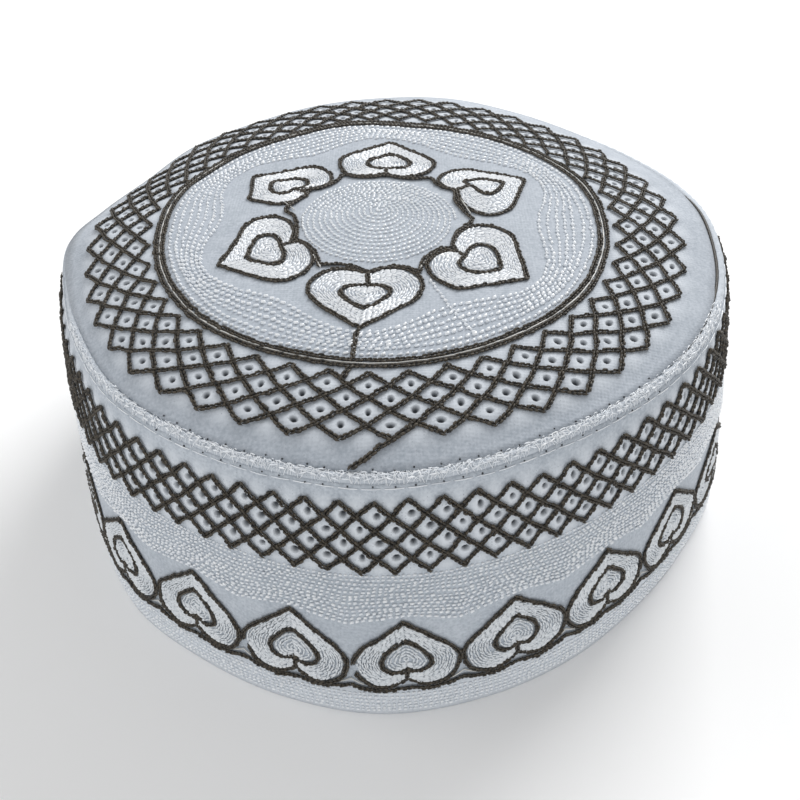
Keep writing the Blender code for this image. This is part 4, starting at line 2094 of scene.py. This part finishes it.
@dataclass
class BandWork(Embroidery):
    """All the embroidery of the side band."""

    chart: BandChart
    name: str = "band"
    seed: int = 40
    fill_rows: int = 9
    centre_rows: int = 5
    rounding: float = 0.5 * MM
    count: int = 22
    first_heart: float = 273.5 * DEG
    steps: int = 1799
    heart_size_spread: float = 0.02
    inner_size_spread: float = 0.05
    heart_stray_mm: float = 0.12
    heart_middle_mm: Pair = (0, 50)
    gaps_mm: tuple[tuple[int, float, float], ...] = ((0, 51.5, 54.2), (21, 52.0, 54.0))
    gap_aside: float = 8 * MM
    rows_mm: tuple[Pair, ...] = tuple(
        (24.2 + 0.94 * row, 24.2 + 1.15 * row) for row in range(13)
    )
    row_lift: float = -0.07 * MM
    row_scale: float = 0.76
    row_growth: float = 0.018
    hem_rows_mm: tuple[float, ...] = (62.3, 63.6, 64.9, 66.2, 67.5, 68.8)
    hem_lift: float = -0.09 * MM
    hem_scale: float = 0.85
    baseline_mm: float = 59.5
    baseline_sag_mm: float = 0.9
    baseline_rise_mm: float = 1.1
    baseline_lift: float = 0.05 * MM
    pale_lift: float = 0.1 * MM

    @property
    def pitch(self) -> float:
        """Return the angle between two hearts."""
        return math.tau / self.count

    def _heart(self, number: int, chance: np.random.Generator) -> Heart:
        """Draw one heart.

        Args:
            number: which heart it is, counted round the band.
            chance: where its small differences come from.

        Returns:
            The heart.
        """
        middle = (self.first_heart + number * self.pitch) * self.chart.radius
        loops = []
        for half_mm, spread in (
            (BAND_HEART_MM, self.heart_size_spread),
            (BAND_INNER_MM, self.inner_size_spread),
        ):
            half = np.array(half_mm)
            loop = np.concatenate([half, half[-2:0:-1] * (-1, 1)])
            stretch = 1 + chance.normal(0, spread, 2)
            loop = (loop - self.heart_middle_mm) * stretch + self.heart_middle_mm
            loop = loop + chance.normal(0, self.heart_stray_mm, loop.shape)
            strayed = self.lattice.drift.strayed(loop * MM + (middle, 0))
            loops.append(HeartLoop(strayed, len(half_mm) - 1))
        return Heart(*loops)

    def hearts(self) -> list[Heart]:
        """Draw every heart of the band."""
        chance = np.random.default_rng(self.seed)
        return [self._heart(number, chance) for number in range(self.count)]

    def parts(self, number: int, outline: Line) -> list[Line]:
        """Leave a gap in the left side of the hearts that were left open.

        Args:
            number: which heart it is.
            outline: its whole outline.

        Returns:
            The outline's parts.
        """
        middle = (outline[:, 0].min() + outline[:, 0].max()) / 2
        for which, low, high in self.gaps_mm:
            if which == number:
                deep = outline[:, 1] / MM
                far = outline[:, 0] < middle - self.gap_aside
                gap = np.flatnonzero(far & (deep > low) & (deep < high))
                return [outline[: gap[0]], outline[gap[-1] + 1 :]]
        return [outline]

    def _aside(self, turn: Array) -> Array:
        """Return how far azimuths are from the hearts' middles, up to 1 half way between."""
        share = ((turn - self.first_heart) / self.pitch + 0.5) % 1.0
        return np.abs(share - 0.5) * 2

    def _row(self, turn: Array, depth_mm: Array) -> Line:
        """Return a line round the band at these depths."""
        return np.stack([turn * self.chart.radius, depth_mm * MM], 1)

    def lay_cords(self, work: Needlework) -> None:
        """Lay the hearts' cords, then the scalloped line below them.

        Args:
            work: the piece that keeps the stitches.
        """
        super().lay_cords(work)
        turn = full_turn(self.steps)
        aside = self._aside(turn)
        low = np.sin(math.pi * np.clip(aside / 0.86, 0, 1)) ** 2
        sag = self.baseline_mm + self.baseline_sag_mm * low
        rise = self.baseline_rise_mm * np.clip((aside - 0.78) / 0.22, 0, 1) ** 1.5
        line = self.lattice.drift.strayed(self._row(turn, sag - rise))
        work.follow(line, self.baseline_lift)

    def lay_rows(self, work: Needlework) -> None:
        """Lay the rows above the hearts and along the hem.

        Args:
            work: the piece that keeps the stitches.
        """
        turn = full_turn(self.steps)
        aside = self._aside(turn) ** 1.5
        for number, (at_tip, between) in enumerate(self.rows_mm):
            wave = 0.12 * np.sin(17 * turn + number) + 0.1 * np.sin(43 * turn + 2 * number)
            line = self._row(turn, at_tip + (between - at_tip) * aside + wave)
            scale = self.row_scale + self.row_growth * number
            work.follow(self.lattice.drift.strayed(line), self.row_lift, scale)
        for number, depth in enumerate(self.hem_rows_mm):
            wave = 0.15 * np.sin(13 * turn + number) + 0.1 * np.sin(37 * turn + number)
            work.follow(self._row(turn, depth + wave), self.hem_lift, self.hem_scale)

    def lay_pale(self, work: Needlework) -> None:
        """Lay the pale threads below the places where two hearts meet.

        Args:
            work: the piece that keeps the stitches.
        """
        for number in range(self.count):
            middle = (self.first_heart + (number + 0.5) * self.pitch) * self.chart.radius
            corner = self.lattice.drift.strayed(np.array(CORNER_MM) * MM + (middle, 0))
            for side in (corner[:2], corner[1:]):
                work.follow(side, self.pale_lift)


@dataclass(frozen=True)
class Lamp:
    """A soft square light: where it stands, how wide it is and its power in watts."""

    name: str
    place: tuple[float, float, float]
    size: float
    power: float

    def add(self, aim: Vector) -> None:
        """Add the light to the scene.

        Args:
            aim: the point that it faces.
        """
        data = bpy.data.lights.new(self.name, "AREA")
        data.size, data.energy = self.size, self.power
        light = bpy.data.objects.new(self.name, data)
        light.location = self.place
        light.rotation_euler = (aim - Vector(self.place)).to_track_quat("-Z", "Y").to_euler()
        bpy.context.scene.collection.objects.link(light)


@dataclass
class Studio:
    """The floor, the lights and the camera."""

    target: tuple[float, float, float] = (0.00211, -0.02033, 0.03412)
    distance: float = 0.22999
    azimuth: float = -0.00875
    elevation: float = 0.74971
    roll: float = -0.01681
    focal_px: float = 845.0
    frame_px: float = 800.0
    sensor_mm: float = 36.0
    nearest: float = 0.01
    floor_half: float = 3.0
    sky_strength: float = 0.62
    aim: tuple[float, float, float] = (0, 0, 0.05)
    lamps: tuple[Lamp, ...] = (
        Lamp("key", (0.55, 0.95, 0.85), 0.7, 16.0),
        Lamp("fill", (-0.95, 0.1, 0.7), 0.6, 2.2),
        Lamp("front", (-0.15, -1.3, 0.14), 0.5, 2.6),
    )

    def add_camera(self) -> None:
        """Add the camera at the photograph's viewing angle."""
        data = bpy.data.cameras.new("camera")
        data.sensor_width = self.sensor_mm
        data.lens = self.focal_px / self.frame_px * self.sensor_mm
        data.clip_start = self.nearest
        camera = bpy.data.objects.new("camera", data)
        bpy.context.scene.collection.objects.link(camera)
        level = math.cos(self.elevation)
        ahead, aside = math.cos(self.azimuth) * level, math.sin(self.azimuth) * level
        forward = Vector((aside, ahead, -math.sin(self.elevation)))
        right = forward.cross(Vector((0, 0, 1))).normalized()
        up = right.cross(forward)
        turned_right = right * math.cos(self.roll) + up * math.sin(self.roll)
        turned_up = up * math.cos(self.roll) - right * math.sin(self.roll)
        place = Matrix((turned_right, turned_up, -forward)).transposed().to_4x4()
        place.translation = Vector(self.target) - forward * self.distance
        camera.matrix_world = place
        bpy.context.scene.camera = camera

    def add_floor(self) -> None:
        """Add the floor."""
        mesh = bpy.data.meshes.new("floor")
        half = self.floor_half
        corners = [(-half, -half, 0), (half, -half, 0), (half, half, 0), (-half, half, 0)]
        mesh.from_pydata(corners, [], [(0, 1, 2, 3)])
        mesh.materials.append(FloorFinish().make())
        floor = bpy.data.objects.new("floor", mesh)
        bpy.context.scene.collection.objects.link(floor)

    def build(self) -> None:
        """Set up the whole studio."""
        world = bpy.data.worlds.new("studio")
        world.use_nodes = True
        sky = world.node_tree.nodes["Background"].inputs
        sky["Color"].default_value = colour(1, 1, 1)
        sky["Strength"].default_value = self.sky_strength
        bpy.context.scene.world = world
        bpy.context.scene.view_settings.view_transform = "Standard"
        self.add_floor()
        for lamp in self.lamps:
            lamp.add(Vector(self.aim))
        self.add_camera()


def main() -> None:
    """Build and dress the whole hat."""
    logging.basicConfig(level=logging.INFO, format="%(message)s")
    form = HatForm()
    crown, band, rim = CrownChart(form), BandChart(form), RimChart(form)
    crown_radius = 67 * MM
    crown_lattice = Lattice(
        count=45,
        radius=crown_radius,
        first=0.82 * DEG * crown_radius,
        top=75.6 * MM,
        row=-3.32 * MM,
        drift=Drift(crown_radius, (59.0, 75.5), (50.0, 81.2), CROWN_DRIFT_MM),
    )
    band_lattice = Lattice(
        count=76,
        radius=band.radius,
        first=0.05 * DEG * band.radius,
        top=5.3 * MM,
        row=3.52 * MM,
        drift=Drift(band.radius, (5.3, 22.9, 36.6, 55.8), (1.3, 71.0), BAND_DRIFT_MM),
    )
    white = ThreadFinish(
        "white_thread", colour(0.95, 0.97, 0.99), colour(0.76, 0.80, 0.85), 0.30, coat=0.4
    ).make()
    brown = ThreadFinish(
        "dark_cord",
        colour(0.082, 0.067, 0.047),
        colour(0.003, 0.0026, 0.0022),
        0.5,
        fibre=0.42 * MM,
        tone_share=1.1,
        fibre_share=1.3,
        offset=-0.72,
    ).make()
    crown_fill = ThreadFinish(
        "crown_filling", colour(0.94, 0.96, 0.98), colour(0.80, 0.83, 0.87), 0.34, coat=0.3
    ).make()
    # Painted shade: the band's filling is a darker copy of the crown's filling, for the less lit
    # band.
    band_fill_painted_shade = ThreadFinish(
        "band_filling_painted_shade", colour(0.88, 0.91, 0.94), colour(0.75, 0.79, 0.83), 0.36, coat=0.2
    ).make()
    pale = ThreadFinish(
        "pale_thread", colour(0.74, 0.73, 0.70), colour(0.52, 0.52, 0.50), 0.36, coat=0.2
    ).make()
    # Painted shade: the colour of the needle holes' dark discs.
    hole_shade = ThreadFinish(
        "painted_needle_hole_shade", colour(0.09, 0.095, 0.105), colour(0.02, 0.022, 0.026), 0.9
    ).make()
    # Painted shade: the crown's cotton is a darker copy of the band's, darkening the lit crown top.
    crown_cloth = ClothFinish(
        "crown_cotton_painted_shade",
        Weave.FLAT,
        light=colour(0.46, 0.50, 0.555),
        dark=colour(0.325, 0.365, 0.415),
        cell=colour(0.63, 0.67, 0.72),
    ).make()
    band_cloth = ClothFinish("band_cotton", Weave.ROUND).make()

    top = CrownCloth(crown, crown_lattice).build(crown_cloth)
    side = BandCloth(band, band_lattice).build(band_cloth)
    RimSeam(rim, crown, band, band_cloth, white, brown, hole_shade).build()
    crown_work, band_work = CrownWork(crown, crown_lattice), BandWork(band, band_lattice)
    for work, filling in ((crown_work, crown_fill), (band_work, band_fill_painted_shade)):
        work.build(Task.LATTICE, brown)
        work.build(Task.CORDS, brown)
        work.build(Task.PALE, pale)
        for stitched in (work.build(Task.ROWS, white), work.build(Task.FILL, filling)):
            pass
    Studio().build()


if __name__ == "__main__":
    main()
